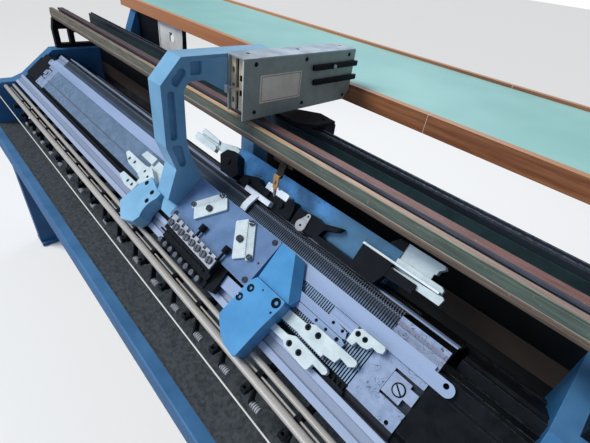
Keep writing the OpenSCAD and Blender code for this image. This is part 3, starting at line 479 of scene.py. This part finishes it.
# %% Needles
oiled_needles = worn("oiled_needles", ("17191D", "2A2D33"), 9, (0.3, 0.5), metallic=0.6,
                     grain_mm=0.8)
paint(oiled_needles, [("drop", -10, 10.2, 0.3, 1.0, "70757F"),
                      ("drop", 10.2, 19, 2, 0.5, "4E535B"),
                      ("above", 0.8, 20, 0.4, 1.0, "A9AEB8")])

# %% [markdown]
# ## End plates
# The bright plates beyond the last needle carry loops of pencil and scriber. Rings of a
# wave texture, bent by noise, give such loops; only the thin dark line of each ring is
# kept, and only in some patches. Stains and the black rim of the plate are bands.

# %% End plates
scribed = worn("scribed_end_plate", ("8498B8", "98ACCC"), 18, (0.4, 0.52), metallic=0.15,
               grain_mm=0.7, speck="5E6068", speck_mm=5.0, speck_amount=0.66)
bend = 0.03
tree, place = drawn_on(scribed)
warp = add(tree, "TexNoise", {"Vector": place, "Scale": 34.0, "Detail": 2}).outputs["Color"]
bent = add(tree, "VectorMath", {0: warp, 1: (bend, bend, bend), 2: place},
           operation="MULTIPLY_ADD").outputs[0]
rings = add(tree, "TexWave", {"Vector": bent, "Scale": 70.0, "Distortion": 14.0, "Detail": 2},
            wave_type="RINGS").outputs["Fac"]
line = fade(tree, rings, 0.05, 0.01, 0.0, 0.85)
patchy = fade(tree, noise(tree, place, 45.0, 1), 0.44, 0.56)
cover(scribed, calc(tree, "MULTIPLY", line, patchy), "3E424C")
paint(scribed, [("drop", 13.5, 21.5, 2, 0.5, "6B5F68"),
                ("drop", 27, 32, 2, 0.4, "6B5F68"),
                ("drop", 156, whole_bed, 0.6, 0.85, "3A322C"),
                ("above", far_below, -3.5, 0.6, 0.9, "15171B")])

# %% [markdown]
# ## Clamp blocks
# Each end plate is held by a notched block with one large slotted screw. Screw and
# block are one solid, so its finish paints the gap round the head black, as painted
# shade, and blackens the slot as painted shade, by asking for points near the axis that
# lie below the face. An inner radius below zero makes a full disc of the ring.

# %% Clamp blocks
clamp_steel = worn("clamp_steel", ("8C9EBC", "9EB0CE"), 22, (0.38, 0.5), metallic=0.15,
                   grain_mm=0.7, edge="F0F3F8", edge_keep=0.8, edge_mm=0.5)
screw_x, screw_s, head_radius, full_disc = 875.8, 101, 9.6, -1.0
clamp_screws = [bed_point(side * screw_x, screw_s) for side in (-1, 1)]
# Painted shade: a black ring for the gap round the screw head.
cover(clamp_steel, near_axis(clamp_steel, clamp_screws, 8.8, 11.2), "0B0C0E")
# Painted shade in the slot of the head.
in_head = near_axis(clamp_steel, clamp_screws, full_disc, head_radius)
sunk = band(clamp_steel, "above", 1.6, 2.9, 0.05)
cover(clamp_steel, calc(clamp_steel.node_tree, "MULTIPLY", in_head, sunk), "0B0C0E")
paint(clamp_steel, [("above", far_below, -0.5, 0.3, 0.9, "15171B")])

# %% [markdown]
# ## Long marks on three finishes
# The groove of the front rail is painted darker than its lands, as painted shade in the
# recess. The sheet behind the beds, already dark teal as painted shade, is painted black
# in its lower part, more painted shade, with one brown strip. The rear cam box is bright
# blue and painted darker over its right half, as painted shade.

# %% Rail groove, rear sheet and rear cam box
# Painted shade in the groove of the front rail.
paint(rail_steel, [("drop", 183.8, 200.2, 0.4, 0.6, "7C879C")])
# Painted shade: black over the lower part of the sheet; the second row is a brown strip.
paint(shaded_rear_sheet, [("Z", 500, 1020, 1, 1.0, "0D0F10"),
                    ("Z", 873.8, 928.2, 0.5, 1.0, "4B423C")])
# Painted shade over the right half of the rear cam box.
paint(grimy_and_shaded_enamel, [("X", 575, 2000, 35, 0.7, "3C6076")])

# %% [markdown]
# ## Indicator plates with dark knobs
# Each stitch plate is bright and its slotted knob is blackened. Both are one solid, so
# the finish measures how far a point lies from the knob's axis and darkens it there.
# The left half of the cam plate mirrors the right one, and lies 6 mm up the slope.

# %% Indicator plates
knob_x, knob_s, knob_radius = 67.3, 86.2, 7.6
mirror_x, mirror_s = 13, 6


def indicator(name, x, s):
    material = worn(name, ("C2D3DA", "D4E2E8"), 20, (0.35, 0.48), metallic=0.15,
                    grain_mm=0.6, edge="FFFFFF", edge_keep=0.5, edge_mm=0.5,
                    speck="9AA4AE", speck_mm=7.0, speck_amount=0.68)
    knob = bed_point(carriage_x + x, s)
    cover(material, near_axis(material, [knob], full_disc, knob_radius), "3A3E46")
    print(name, "with its knob at", [round(v, 3) for v in knob])
    return material


indicator_right = indicator("indicator_plate_right", knob_x, knob_s)
indicator_left = indicator("indicator_plate_left", mirror_x - knob_x, knob_s - mirror_s)

# %% [markdown]
# ## Feeder in two metals
# The feeder's carrier and swinging arm are blackened steel; the holder at its end is
# worn brass and the yarn tube is bright. The bands again follow place: brass where the
# part comes forward of the arm and below it, steel grey on the tube at the bottom.

# %% Feeder
feeder_metal = worn("blackened_feeder_steel", ("1E2023", "3B3834"), 12, (0.35, 0.5),
                    metallic=0.4, grain_mm=0.9, edge="8F8878", edge_keep=0.6, edge_mm=0.6)
forward = band(feeder_metal, "Y", -320, -299.8, 0.2)
low = band(feeder_metal, "Z", 900, 1099.5, 1)
cover(feeder_metal, calc(feeder_metal.node_tree, "MULTIPLY", forward, low), "C79A5C")
paint(feeder_metal, [("Z", 900, 1065.5, 1, 1.0, "A9A6A2")])

# %% [markdown]
# ## Open end of the head box
# The front end faces of its plates, which look towards the light, are painted nearly
# white as a painted highlight, and behind the tan selector plates the box and the
# backs of those plates are painted dark as painted shade. Both follow how far back a
# point lies, and for the box also whether its surface looks to the front.

# %% Head box depth
tree = head_hammered.node_tree
to_front = calc(tree, "LESS_THAN", facing(tree, "Y"), -0.9)
# Painted highlight on the front faces near the open end, painted shade deeper in.
for back_from, back_to, code in [(-400, -250, "E3E7E7"), (-250, -200, "141516")]:
    depth = band(head_hammered, "Y", back_from, back_to, 0.5)
    cover(head_hammered, calc(tree, "MULTIPLY", to_front, depth), code)
# Painted shade on the selector plates inside the box.
paint(tan_zinc, [("Y", -264.5, -200, 0.5, 0.92, "1B1815")])

# %% [markdown]
# ## Yarn rails
# The two yarn rails are flat steel bars. Paint survives on their faces and has worn
# to bare brownish metal on top, where the feeders slide, so the colour follows the
# height on the bar: a ramp over Z paints the bands, and stretched noise scuffs them.

# %% Rail paint
rail_end, rail_foot, rail_top = 0.95, 1.102, 1.140
scuffs_per_metre, chips_per_metre = 300.0, 160.0
darkest, lightest = 0.6, 1.22


def rail_paint(name, left_bands, right_bands, top_bands):
    material, tree, shader, place = start(name)
    split = add(tree, "SeparateXYZ", {0: place}).outputs
    along = fade(tree, split["X"], -rail_end, rail_end)
    height = fade(tree, split["Z"], rail_foot, rail_top)
    face = mix(tree, along, ramp(tree, height, left_bands), ramp(tree, height, right_bands))
    is_top = fade(tree, facing(tree, "Z"), 0.6, 0.8)
    colour = mix(tree, is_top, face, ramp(tree, along, top_bands))
    scuff = noise(tree, lay(tree, place, (0.05, 1, 1)), scuffs_per_metre, 6, 0.65)
    streaks = fade(tree, scuff, 0.36, 0.66, darkest, lightest)
    colour = mix(tree, 1.0, colour, streaks, "MULTIPLY")
    chips = noise(tree, place, chips_per_metre, 5, 0.7)
    chipped = fade(tree, chips, 0.66, 0.70, 0.0, 0.7)
    colour = mix(tree, chipped, colour, tint("C8B9A2"))
    shine = fade(tree, scuff, 0.0, 1.0, 0.6, 0.35)
    wire(tree, shader, colour, shine, relief(tree, scuff, 0.06))
    shader.inputs["Metallic"].default_value = 0.15
    print(name, "with", len(left_bands), "bands on its face")
    return material


# %% [markdown]
# ## Colours of the two rails
# The front rail is green-grey with a pale line along its face, a painted highlight on
# an edge of the face; the rear one is dark and reddish. Left and right ends aged
# differently, so each face has two rows of colours, mixed along the bar.

# %% Front and rear rail
# On each face row of the front rail, the pale stop at 0.395 is a painted highlight.
rail_front_paint = rail_paint(
    "front_rail_paint",
    [(0.0, "5E5248"), (0.30, "7C6C5E"), (0.385, "8A786A"), (0.395, "D9D6C8"),
     (0.43, "6F7064"), (0.90, "7A7160"), (0.94, "3A3A38"), (0.98, "8E866F")],
    [(0.0, "625850"), (0.30, "8A7868"), (0.385, "9C8A7A"), (0.395, "CFCDBE"),
     (0.43, "56655F"), (0.90, "5F6E64"), (0.94, "33403C"), (0.98, "7E8A78")],
    [(0.0, "7C736C"), (0.35, "94867A"), (0.52, "D2A97E"), (0.66, "CCAA86"),
     (0.85, "B89C88"), (1.0, "A08C84")])
rail_rear_paint = rail_paint(
    "rear_rail_paint",
    [(0.0, "3A3434"), (0.5, "4A4048"), (0.95, "55424A")],
    [(0.0, "38383C"), (0.5, "5A6478"), (0.95, "6A7080")],
    [(0.0, "574A4A"), (0.5, "684E4C"), (0.8, "7E5A52"), (1.0, "84625C")])

# %% [markdown]
# ## Wood and laminate
# The table is a laminate sheet in pale green with a varnished hardwood lipping. Grain
# in a lipping runs along each strip: thin dark fibres, a slow change of tone, and a
# satin varnish. The fibres are noise squeezed across the strip and stretched along.
# The left end is painted paler as painted light, fading out towards the right end,
# which lies in shade; the tops are paler too, and a thin light line shows where two
# strips meet.

# %% Wood and laminate
fibres_per_metre, tones_per_metre = 420.0, 60.0
lit_end_x, shaded_end_x = -0.6, 0.45


def lipping_wood(name):
    material, tree, shader, place = start(name)
    laid = lay(tree, place, (0.035, 1, 1))
    fibres = noise(tree, laid, fibres_per_metre, 6, 0.7, 0.3)
    colour = ramp(tree, noise(tree, laid, tones_per_metre, 3),
                  [(0.35, "7C4A30"), (0.5, "94603F"), (0.68, "A9744F")])
    colour = mix(tree, 1.0, colour, fade(tree, fibres, 0.42, 0.62, 0.72, 1.06), "MULTIPLY")
    along = add(tree, "SeparateXYZ", {0: place}).outputs["X"]
    # Painted light: paler at the left end, none at the right.
    painted_light_along_x = fade(tree, along, lit_end_x, shaded_end_x, 0.75, 0.0)
    colour = mix(tree, painted_light_along_x, colour, tint("C98A62"))
    shine = fade(tree, fibres, 0.0, 1.0, 0.3, 0.5)
    wire(tree, shader, colour, shine, relief(tree, fibres, 0.08))
    shader.inputs["Coat Weight"].default_value = 0.1
    shader.inputs["Coat Roughness"].default_value = 0.3
    return material


wood = lipping_wood("varnished_hardwood")
tops = fade(wood.node_tree, facing(wood.node_tree, "Z"), 0.8, 0.95, 0.0, 0.6)
cover(wood, tops, "CDA077")
paint(wood, [("X", 556.2, 557.8, 0.1, 1.0, "C9B7A4")])
laminate = worn("pale_green_laminate", ("8FC5C1", "9CCFCB"), 400, (0.3, 0.42), coat=0.1,
                grain_mm=1.6, grain_depth_mm=0.002)
print("table finishes:", wood.name, laminate.name)

# %% [markdown]
# ## Put the finishes on the solids
# Each solid keeps its shape and takes its finish by name. One table serves better than
# sixty assignments: it shows at a glance which parts are made of the same stuff, and
# what it leaves out is printed at the end.

# %% Finishes on the solids
finishes = {
    deep_enamel: ["left_stand", "right_stand", "rear_tie", "blue_rim"],
    blue_enamel: ["left_bracket", "bow_arm"],
    bright_enamel: ["right_bracket", "wedge_plate"],
    grimy_and_shaded_enamel: ["rear_cam_box"],
    cam_enamel: ["cam_plate"],
    front_comb: ["front_needle_bed"],
    rear_comb: ["rear_needle_bed"],
    scribed: ["bed_end_plates"],
    clamp_steel: ["clamp_blocks"],
    band_steel: ["front_bed_band", "rear_bed_band", "guide_strips"],
    rail_steel: ["front_guide_rail"],
    oiled_needles: ["front_needles", "rear_needles"],
    needle_steel: ["front_cams"],
    bright_steel: ["selector_plate", "head_lever"],
    white_satin: ["rear_bright_parts"],
    dull_heads: ["selector_heads"],
    rod_steel: ["front_rod", "second_rod"],
    black_iron: ["front_bed_beam", "rear_bed_beam", "rail_posts", "tension_brackets",
                 "selector_base", "knurled_pins", "rear_castings", "rear_bearing",
                 "carrier_slider_upper", "carrier_slider_lower"],
    guide_iron: ["rear_guide_rail"],
    black_spring: ["front_spring_row"],
    stop_nylon: ["front_stops_right", "front_stops_left", "rear_stops_right",
                 "rear_stops_left"],
    index_satin: ["index_strips"],
    indicator_left: ["stitch_plate_left"],
    indicator_right: ["stitch_plate_right"],
    knob_plastic: ["ribbed_knobs", "teardrop_lever"],
    white_paint: ["pull_rod"],
    side_plate: ["side_bracket"],
    head_hammered: ["head_box"],
    head_satin: ["head_top"],
    tan_zinc: ["head_selectors"],
    feeder_metal: ["yarn_feeder"],
    tray_sheet: ["front_tray"],
    shaded_rear_sheet: ["rear_panel"],
    rail_front_paint: ["yarn_rail_front"],
    rail_rear_paint: ["yarn_rail_rear"],
    laminate: ["table_top"],
    wood: ["table_edge"],
}
finished = set()
for material, names in finishes.items():
    for name in names:
        mesh = nodes[name].data
        mesh.materials.clear()
        mesh.materials.append(material)
        finished.add(name)
print("finished", len(finished), "of", len(nodes), "missing", sorted(set(nodes) - finished))

# %% [markdown]
# ## Places for small things
# Most screws sit square to a sloping bed. A small matrix for each place turns a screw
# drawn upright at the origin into one that stands on the bed, on the right face of the
# head box or on its top, so no angle is ever typed twice. Here x runs along the beds,
# s down the slope and h above it; y and z on the head box count from the throat. keep()
# cleans a drawn piece, gives it a finish and ties it to the body that it moves with.

# %% Places and keeping
def on_front(x, s, h, turn=0.0):
    axes = Matrix(((1, 0, 0), (0, ca, -sa), (0, sa, ca))).to_4x4()
    return Matrix.Translation(bed_point(x, s, h)) @ axes @ Matrix.Rotation(turn, 4, "Z")


def on_right_face(x, y, z, turn=0.0):
    spot = Vector((x, y + throat_y, z + throat_z)) / MM
    axes = Matrix(((0, 0, 1), (1, 0, 0), (0, 1, 0))).to_4x4()
    return Matrix.Translation(spot) @ axes @ Matrix.Rotation(turn, 4, "Z")


def upright(x, y, z, turn=0.0):
    spot = Vector((x, y + throat_y, z + throat_z)) / MM
    return Matrix.Translation(spot) @ Matrix.Rotation(turn, 4, "Z")


def keep(name, drawn, material, body):
    weld_mm = 0.002
    bmesh.ops.remove_doubles(drawn, verts=drawn.verts, dist=weld_mm / MM)
    bmesh.ops.recalc_face_normals(drawn, faces=drawn.faces)
    mesh = bpy.data.meshes.new(name)
    drawn.to_mesh(mesh)
    drawn.free()
    mesh.materials.append(material)
    made = bpy.data.objects.new(name, mesh)
    bpy.context.collection.objects.link(made)
    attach(made, body)
    print(name, len(mesh.polygons), "faces")


print("the front bed lies", round(math.degrees(slope)), "degrees steep")

# %% [markdown]
# ## Bars and discs
# Lines, plates and washers are boxes and cylinders. Both are drawn into a bmesh, which
# is a mesh in the making, so many of them can share one object and one finish. pour()
# adds a part that was made in a bmesh of its own.

# %% Bars and discs
def bar(drawn, place, size):
    metres = [side / MM for side in size]
    bmesh.ops.create_cube(drawn, size=1.0, matrix=place @ Matrix.Diagonal((*metres, 1)))


def disc(drawn, radius, height, segments, top=1.0, place=Matrix()):
    bmesh.ops.create_cone(drawn, cap_ends=True, segments=segments, radius1=radius / MM,
                          radius2=radius * top / MM, depth=height / MM, matrix=place)


def pour(part, drawn):
    carrier = bpy.data.meshes.new("carrier")
    part.to_mesh(carrier)
    part.free()
    drawn.from_mesh(carrier)
    bpy.data.meshes.remove(carrier)


print("bars and discs ready")

# %% [markdown]
# ## Screws
# Two kinds hold the carriage together. A slotted cheese head is two half discs with a
# gap between them on a thinner disc, which leaves a true slot. A cap screw is a
# cylinder whose top is inset and pushed down for the key. A boolean cut would do both,
# but it often leaves stray faces on parts as small as these.

# %% Screw makers
def slotted_screw(drawn, place, radius, height, slot):
    taper, core, core_height = 0.9, 0.97, 0.5
    for side in (0, 1):
        half = bmesh.new()
        disc(half, radius, height, 28, taper)
        bmesh.ops.translate(half, verts=half.verts, vec=(0, 0, height / 2 / MM))
        bmesh.ops.bisect_plane(half, geom=half.verts[:] + half.edges[:] + half.faces[:],
                               plane_co=(0, slot / 2 / MM, 0), plane_no=(0, 1, 0),
                               clear_inner=True)
        open_edges = [e for e in half.edges if e.is_boundary]
        bmesh.ops.contextual_create(half, geom=open_edges)
        bmesh.ops.transform(half, verts=half.verts,
                            matrix=place @ Matrix.Rotation(math.pi * side, 4, "Z"))
        pour(half, drawn)
    disc(drawn, radius * core, height * core_height, 28,
         place=place @ Matrix.Translation((0, 0, height * core_height / 2 / MM)))


def cap_screw(drawn, place, radius, height):
    rounding, wall, corner, key_depth = 0.12, 0.36, 0.02, 0.6
    head = bmesh.new()
    disc(head, radius, height, 24)
    bmesh.ops.translate(head, verts=head.verts, vec=(0, 0, height / 2 / MM))
    rim = [e for e in head.edges if all(v.co.z > height / MM - 1e-7 for v in e.verts)]
    bmesh.ops.bevel(head, geom=rim, offset=radius * rounding / MM, segments=2, profile=0.5,
                    affect="EDGES", material=-1)
    top = max(head.faces, key=lambda f: f.calc_center_median().z)
    bmesh.ops.inset_individual(head, faces=[top], thickness=radius * wall / MM)
    bmesh.ops.inset_individual(head, faces=[top], thickness=radius * corner / MM,
                               depth=-height * key_depth / MM)
    bmesh.ops.transform(head, verts=head.verts, matrix=place)
    pour(head, drawn)


print("screw makers ready")

# %% [markdown]
# ## Cap screws on the carriage
# The end castings take blackened cap screws deep in counterbores, and the stops are
# held by shorter ones set below their face. In use no two keys stop at the same angle,
# so each screw is turned by its own x, which looks random but never changes. A row is
# the screw's x, s, h and radius, as in the tables that follow.

# %% Cap screws in the castings and stops
casting_caps = [(167, 142, 36.1, 6.3), (160, 168, 36.1, 6.3), (229, 130, 35.2, 7.2),
                (-272, 135, 37.1, 4.9), (-232, 143, 37.1, 4.9), (-226, 166, 37.1, 4.9)]
stop_caps = [(287, 167, 8, 4.7), (311, 167, 8, 4.7), (296, 124, 11.5, 4.7),
             (320, 123, 11.5, 4.7), (371, 76, 8, 3.9), (386, 76, 8, 3.9),
             (-432, 121, 12, 4.0), (-402, 119, 12, 4.0), (-372, 168, 10, 4.0),
             (-348, 168, 10, 4.0), (-330, 118, 21, 3.2), (-306, 124, 21, 3.2)]
caps = bmesh.new()
for places, cap_height in [(casting_caps, 5.2), (stop_caps, 5.0)]:
    for x, s, h, radius in places:
        cap_screw(caps, on_front(carriage_x + x, s, h, x), radius, cap_height)
keep("casting_cap_screws", caps, black_iron, "carriage")

# %% [markdown]
# ## Washers
# A rusty washer shows as a brown ring between the screw and its counterbore. A flat
# disc under the head is enough, since its middle can't be seen.

# %% Washers under the casting screws
washer_height = 0.6
rusty_iron = worn("rusty_dark_iron", ("2A211C", "4A3A30"), 6, (0.5, 0.7), metallic=0.3,
                  grain_mm=0.8, edge="8A7A6A", edge_mm=0.5)
washers = bmesh.new()
for x, s, h, radius in [(167, 142, 36.02, 7.9), (160, 168, 36.02, 7.9), (229, 130, 35.02, 9.8),
                        (-272, 135, 37.02, 6.4), (-232, 143, 37.02, 6.4),
                        (-226, 166, 37.02, 6.4)]:
    disc(washers, radius, washer_height, 32,
         place=on_front(carriage_x + x, s, h + washer_height / 2))
keep("casting_washers", washers, rusty_iron, "carriage")

# %% [markdown]
# ## Places on the index strips
# The two index strips lie at a slant on the cam plate. Their screws and marks are given
# along and across the strip, and one function turns these into places on the bed. The
# left strip mirrors the right one.

# %% Places on the index strips
strip_angle = math.radians(48.8)
strip_cos, strip_sin = 0.6587, 0.7524
strip_x, strip_s = 27, 63


def on_strip(side, along, across, h, turn):
    x = strip_x + strip_cos * along + strip_sin * across
    s = strip_s + strip_sin * along - strip_cos * across
    if side < 0:
        x, s = mirror_x - x, s - mirror_s
    return on_front(carriage_x + x, s, h, turn)


print("the index strips lie at", round(math.degrees(strip_angle), 1), "degrees")

# %% [markdown]
# ## Slotted screws
# The cam plate is held by three flat slotted screws and each index strip by two higher
# ones, all of blued steel with bright edges, partly where screwdrivers slipped and
# partly a painted highlight. A single copper rivet beside them has kept its colour.

# %% Slotted screws and the rivet
dark_steel = worn("blued_screw_steel", ("343842", "4C5260"), 8, (0.35, 0.5), metallic=0.5,
                  grain_mm=0.7, edge="B6BCC6", edge_keep=0.9, edge_mm=0.5)
plate_top, strip_top, strip_middle = 30, 35, 40
slots = bmesh.new()
for x, s, radius, turn in [(135, 47, 6.6, 0.5), (137, 140, 6.6, 1.1), (-132, 139, 6.2, 2.0)]:
    place = on_front(carriage_x + x, s, plate_top, turn)
    slotted_screw(slots, place, radius, height=2.6, slot=1.5)
for along, turn in [(12, 0.4), (87, 1.3)]:
    for side in (1, -1):
        place = on_strip(side, along, strip_middle, strip_top, side * turn)
        slotted_screw(slots, place, radius=6.6, height=4.2, slot=1.4)
keep("slotted_screws", slots, dark_steel, "carriage")
copper = worn("copper_rivet", ("8A4B2E", "B36A42"), 5, (0.3, 0.45), metallic=0.9)
rivet = bmesh.new()
bmesh.ops.create_uvsphere(rivet, u_segments=20, v_segments=10, radius=2.6 / MM,
                          matrix=on_front(carriage_x + 136, 99, plate_top - 0.4))
keep("copper_rivet", rivet, copper, "carriage")

# %% [markdown]
# ## Scale marks
# Beside the split of each stitch plate the real strips carry fine division lines.
# Thin dark bars, a tenth of a millimetre proud, read as engraved lines at this size.
# Every third one is longer. The marks on a stitch plate move with that plate, so they
# are pieces of their own.

# %% Scale marks
mark_count, mark_pitch, mark_wide, mark_tall = 19, 4, 0.4, 0.18
mark_paint = worn("mark_filling_paint", ("20242A", "30343A"), 10, (0.5, 0.6))


def scale_marks(side, inner):
    drawn = bmesh.new()
    for i in range(mark_count):
        long_one = i % 3 == 0
        if inner:
            first, low, high, h = 7, (25.4 if long_one else 27.2), 29.8, 36.05
        else:
            first, low, high, h = 9, 30.9, (35.0 if long_one else 33.4), 35.05
        place = on_strip(side, first + mark_pitch * i, (low + high) / 2, h,
                         -side * strip_angle)
        bar(drawn, place, (mark_wide, high - low, mark_tall))
    return drawn


for side, word in [(-1, "left"), (1, "right")]:
    keep("marks_strip_" + word, scale_marks(side, False), mark_paint, "carriage")
    keep("marks_plate_" + word, scale_marks(side, True), mark_paint,
         "stitch_plate_" + word)

# %% [markdown]
# ## Raised lip
# Along its far side the lipping of the table stands a little above the laminate, so
# that nothing rolls off. Its place is read from the corners of the lipping below it,
# so the two can't drift apart.

# %% Raised lip
lip_deep, lip_tall = 20, 9
points = [vertex.co for vertex in nodes["table_edge"].data.vertices]
edge_x, edge_y, edge_z = (max(point[axis] for point in points) for axis in range(3))
lip = bmesh.new()
place = Matrix.Translation((0, edge_y - lip_deep / 2 / MM, edge_z + lip_tall / 2 / MM))
bar(lip, place, (2 * edge_x * MM, lip_deep, lip_tall))
keep("raised_lip", lip, wood, "frame")

# %% [markdown]
# ## Head box screws
# The right face of the head box is held by six cap screws in two rows, and its top by
# three lower ones.

# %% Head box screws
face_x, face_sunk = carriage_x - 88, 3.3
lid_x, lid_z = carriage_x - 126, 277.2
head_screws = bmesh.new()
for y in (54, 200, 350):
    for z in (166, 267):
        place = on_right_face(face_x - face_sunk, y, z, y)
        cap_screw(head_screws, place, radius=4.7, height=3.9)
for y in (60, 204, 352):
    cap_screw(head_screws, upright(lid_x, y, lid_z, y), radius=4.6, height=2.6)
keep("head_box_screws", head_screws, black_iron, "carriage")

# %% [markdown]
# ## Bare plate
# A framed plate sits on the same face. It is left blank here: a cream enamel panel
# inside a thin raised rim, with a fine red line round it. The rim comes from insetting
# the front face twice, the second time with a small step inwards.

# %% Bare plate
plate_y, plate_z, line_mm = 127.5, 213.5, 0.9
cream_enamel = worn("cream_enamel", ("EFE2CC", "FAF2E2"), 40, (0.3, 0.42), coat=0.3,
                    grain_mm=1.2, speck="8F8470", speck_mm=6.0, speck_amount=0.7)
plate = bmesh.new()
bar(plate, on_right_face(face_x + 0.5, plate_y, plate_z), (121, 60, 1))
face = max(plate.faces, key=lambda f: f.calc_center_median().x)
bmesh.ops.inset_individual(plate, faces=[face], thickness=2.2 / MM)
bmesh.ops.inset_individual(plate, faces=[face], thickness=0.3 / MM, depth=-0.5 / MM)
keep("bare_plate", plate, cream_enamel, "carriage")
border_red = worn("dark_red_line", ("5A2A26", "6E3A33"), 20, (0.4, 0.5))
border = bmesh.new()
for y, z, wide, tall in [(plate_y, 240, 113, line_mm), (plate_y, 187, 113, line_mm),
                         (71, plate_z, line_mm, 53), (184, plate_z, line_mm, 53)]:
    bar(border, on_right_face(face_x + 0.55, y, z), (wide, tall, 0.3))
keep("plate_border", border, border_red, "carriage")

# %% [markdown]
# ## Slider screw
# The upper of the two black sliders carries a bright slotted screw. It belongs to the
# slider, so it rides with that body and not with the carriage.

# %% Slider screw
slider_screw = bmesh.new()
place = on_right_face(face_x + 10.9, 290, 246, 0.6)
slotted_screw(slider_screw, place, radius=4.8, height=2.4, slot=1.1)
keep("slider_screw", slider_screw, bright_steel, "carrier_slider_upper")

# %% [markdown]
# ## Floor
# A plain pale floor carries the shadow. It is brighter to the camera than to the
# machine: a white floor would throw light up under the beds and flatten them. It lies
# half a millimetre below the feet, since two faces in one plane would flicker.

# %% Floor
floor_radius, floor_drop = 40.0, 0.0005
floor_material, tree, shader, place = start("pale_floor")
direct = add(tree, "LightPath").outputs["Is Camera Ray"]
shown = mix(tree, direct, tint("8E9094"), tint("EDEEEE"))
tree.links.new(shown, shader.inputs["Base Color"])
shader.inputs["Roughness"].default_value = 0.8
bump = relief(tree, noise(tree, place, 40.0, 4), 1.0, strength=0.3)
tree.links.new(bump.outputs[0], shader.inputs["Normal"])
sheet = bmesh.new()
bmesh.ops.create_circle(sheet, cap_ends=True, segments=96, radius=floor_radius)
bmesh.ops.translate(sheet, verts=sheet.verts, vec=(0, 0, -floor_drop))
floor_mesh = bpy.data.meshes.new("floor")
sheet.to_mesh(floor_mesh)
floor = bpy.data.objects.new("floor", floor_mesh)
floor_mesh.materials.append(floor_material)
bpy.context.collection.objects.link(floor)
print("floor laid,", 2 * floor_radius, "m across")

# %% [markdown]
# ## Lamps
# In the photograph the faces towards the left end and the front are bright and those
# towards the right end are in shade, so a wide soft sun comes from the upper left. A
# weak lamp shines from behind and a weaker one from the front. The sun lights but is
# not mirrored, or the slopes of the beds would flare.

# %% Lamps
def lamp(name, spot, aim, size, watts, code):
    data = bpy.data.lights.new(name, "AREA")
    data.shape = "RECTANGLE"
    data.size, data.size_y = size
    data.energy = watts
    data.color = tint(code)[:3]
    made = bpy.data.objects.new(name, data)
    made.location = spot
    made.rotation_euler = (Vector(aim) - Vector(spot)).to_track_quat("-Z", "Y").to_euler()
    bpy.context.collection.objects.link(made)


sun = bpy.data.lights.new("key_sun", "SUN")
sun.energy = 3.0
sun.angle = math.radians(26)
sun.color = tint("FFF9F0")[:3]
sunbeam = Vector((0.46, 0.48, -0.75))
key = bpy.data.objects.new("key_sun", sun)
key.visible_glossy = False
key.rotation_euler = sunbeam.to_track_quat("-Z", "Y").to_euler()
bpy.context.collection.objects.link(key)
lamp("sky_lamp", spot=(-1.2, 2.6, 3.6), aim=(0.2, 0.0, 1.0), size=(3.0, 2.0), watts=45,
     code="E8F1FF")
lamp("front_fill", spot=(-0.4, -2.8, 1.7), aim=(0.1, -0.2, 1.0), size=(3.0, 1.6), watts=26,
     code="DCE9FF")
print("three lamps set")

# %% [markdown]
# ## World
# A pale blue world fills the shadows, as a white workshop would. The camera itself sees
# plain white, also through clear parts, so the picture gets a clean background without
# that white lighting the machine.

# %% World
world = bpy.data.worlds.new("studio")
world.use_nodes = True
bpy.context.scene.world = world
tree = world.node_tree
plain = tree.nodes["Background"]
plain.inputs["Color"].default_value = tint("D2E2FA")
plain.inputs["Strength"].default_value = 0.29
white = add(tree, "Background", {"Color": (1, 1, 1, 1), "Strength": 1.0})
path = add(tree, "LightPath").outputs
seen = calc(tree, "MAXIMUM", path["Is Camera Ray"], path["Is Transmission Ray"])
shade = add(tree, "MixShader", {0: seen, 1: plain.outputs[0], 2: white.outputs[0]})
tree.links.new(shade.outputs[0], tree.nodes["World Output"].inputs["Surface"])
bpy.context.scene.view_settings.view_transform = "Standard"
print("world set, shown as", bpy.context.scene.view_settings.view_transform)
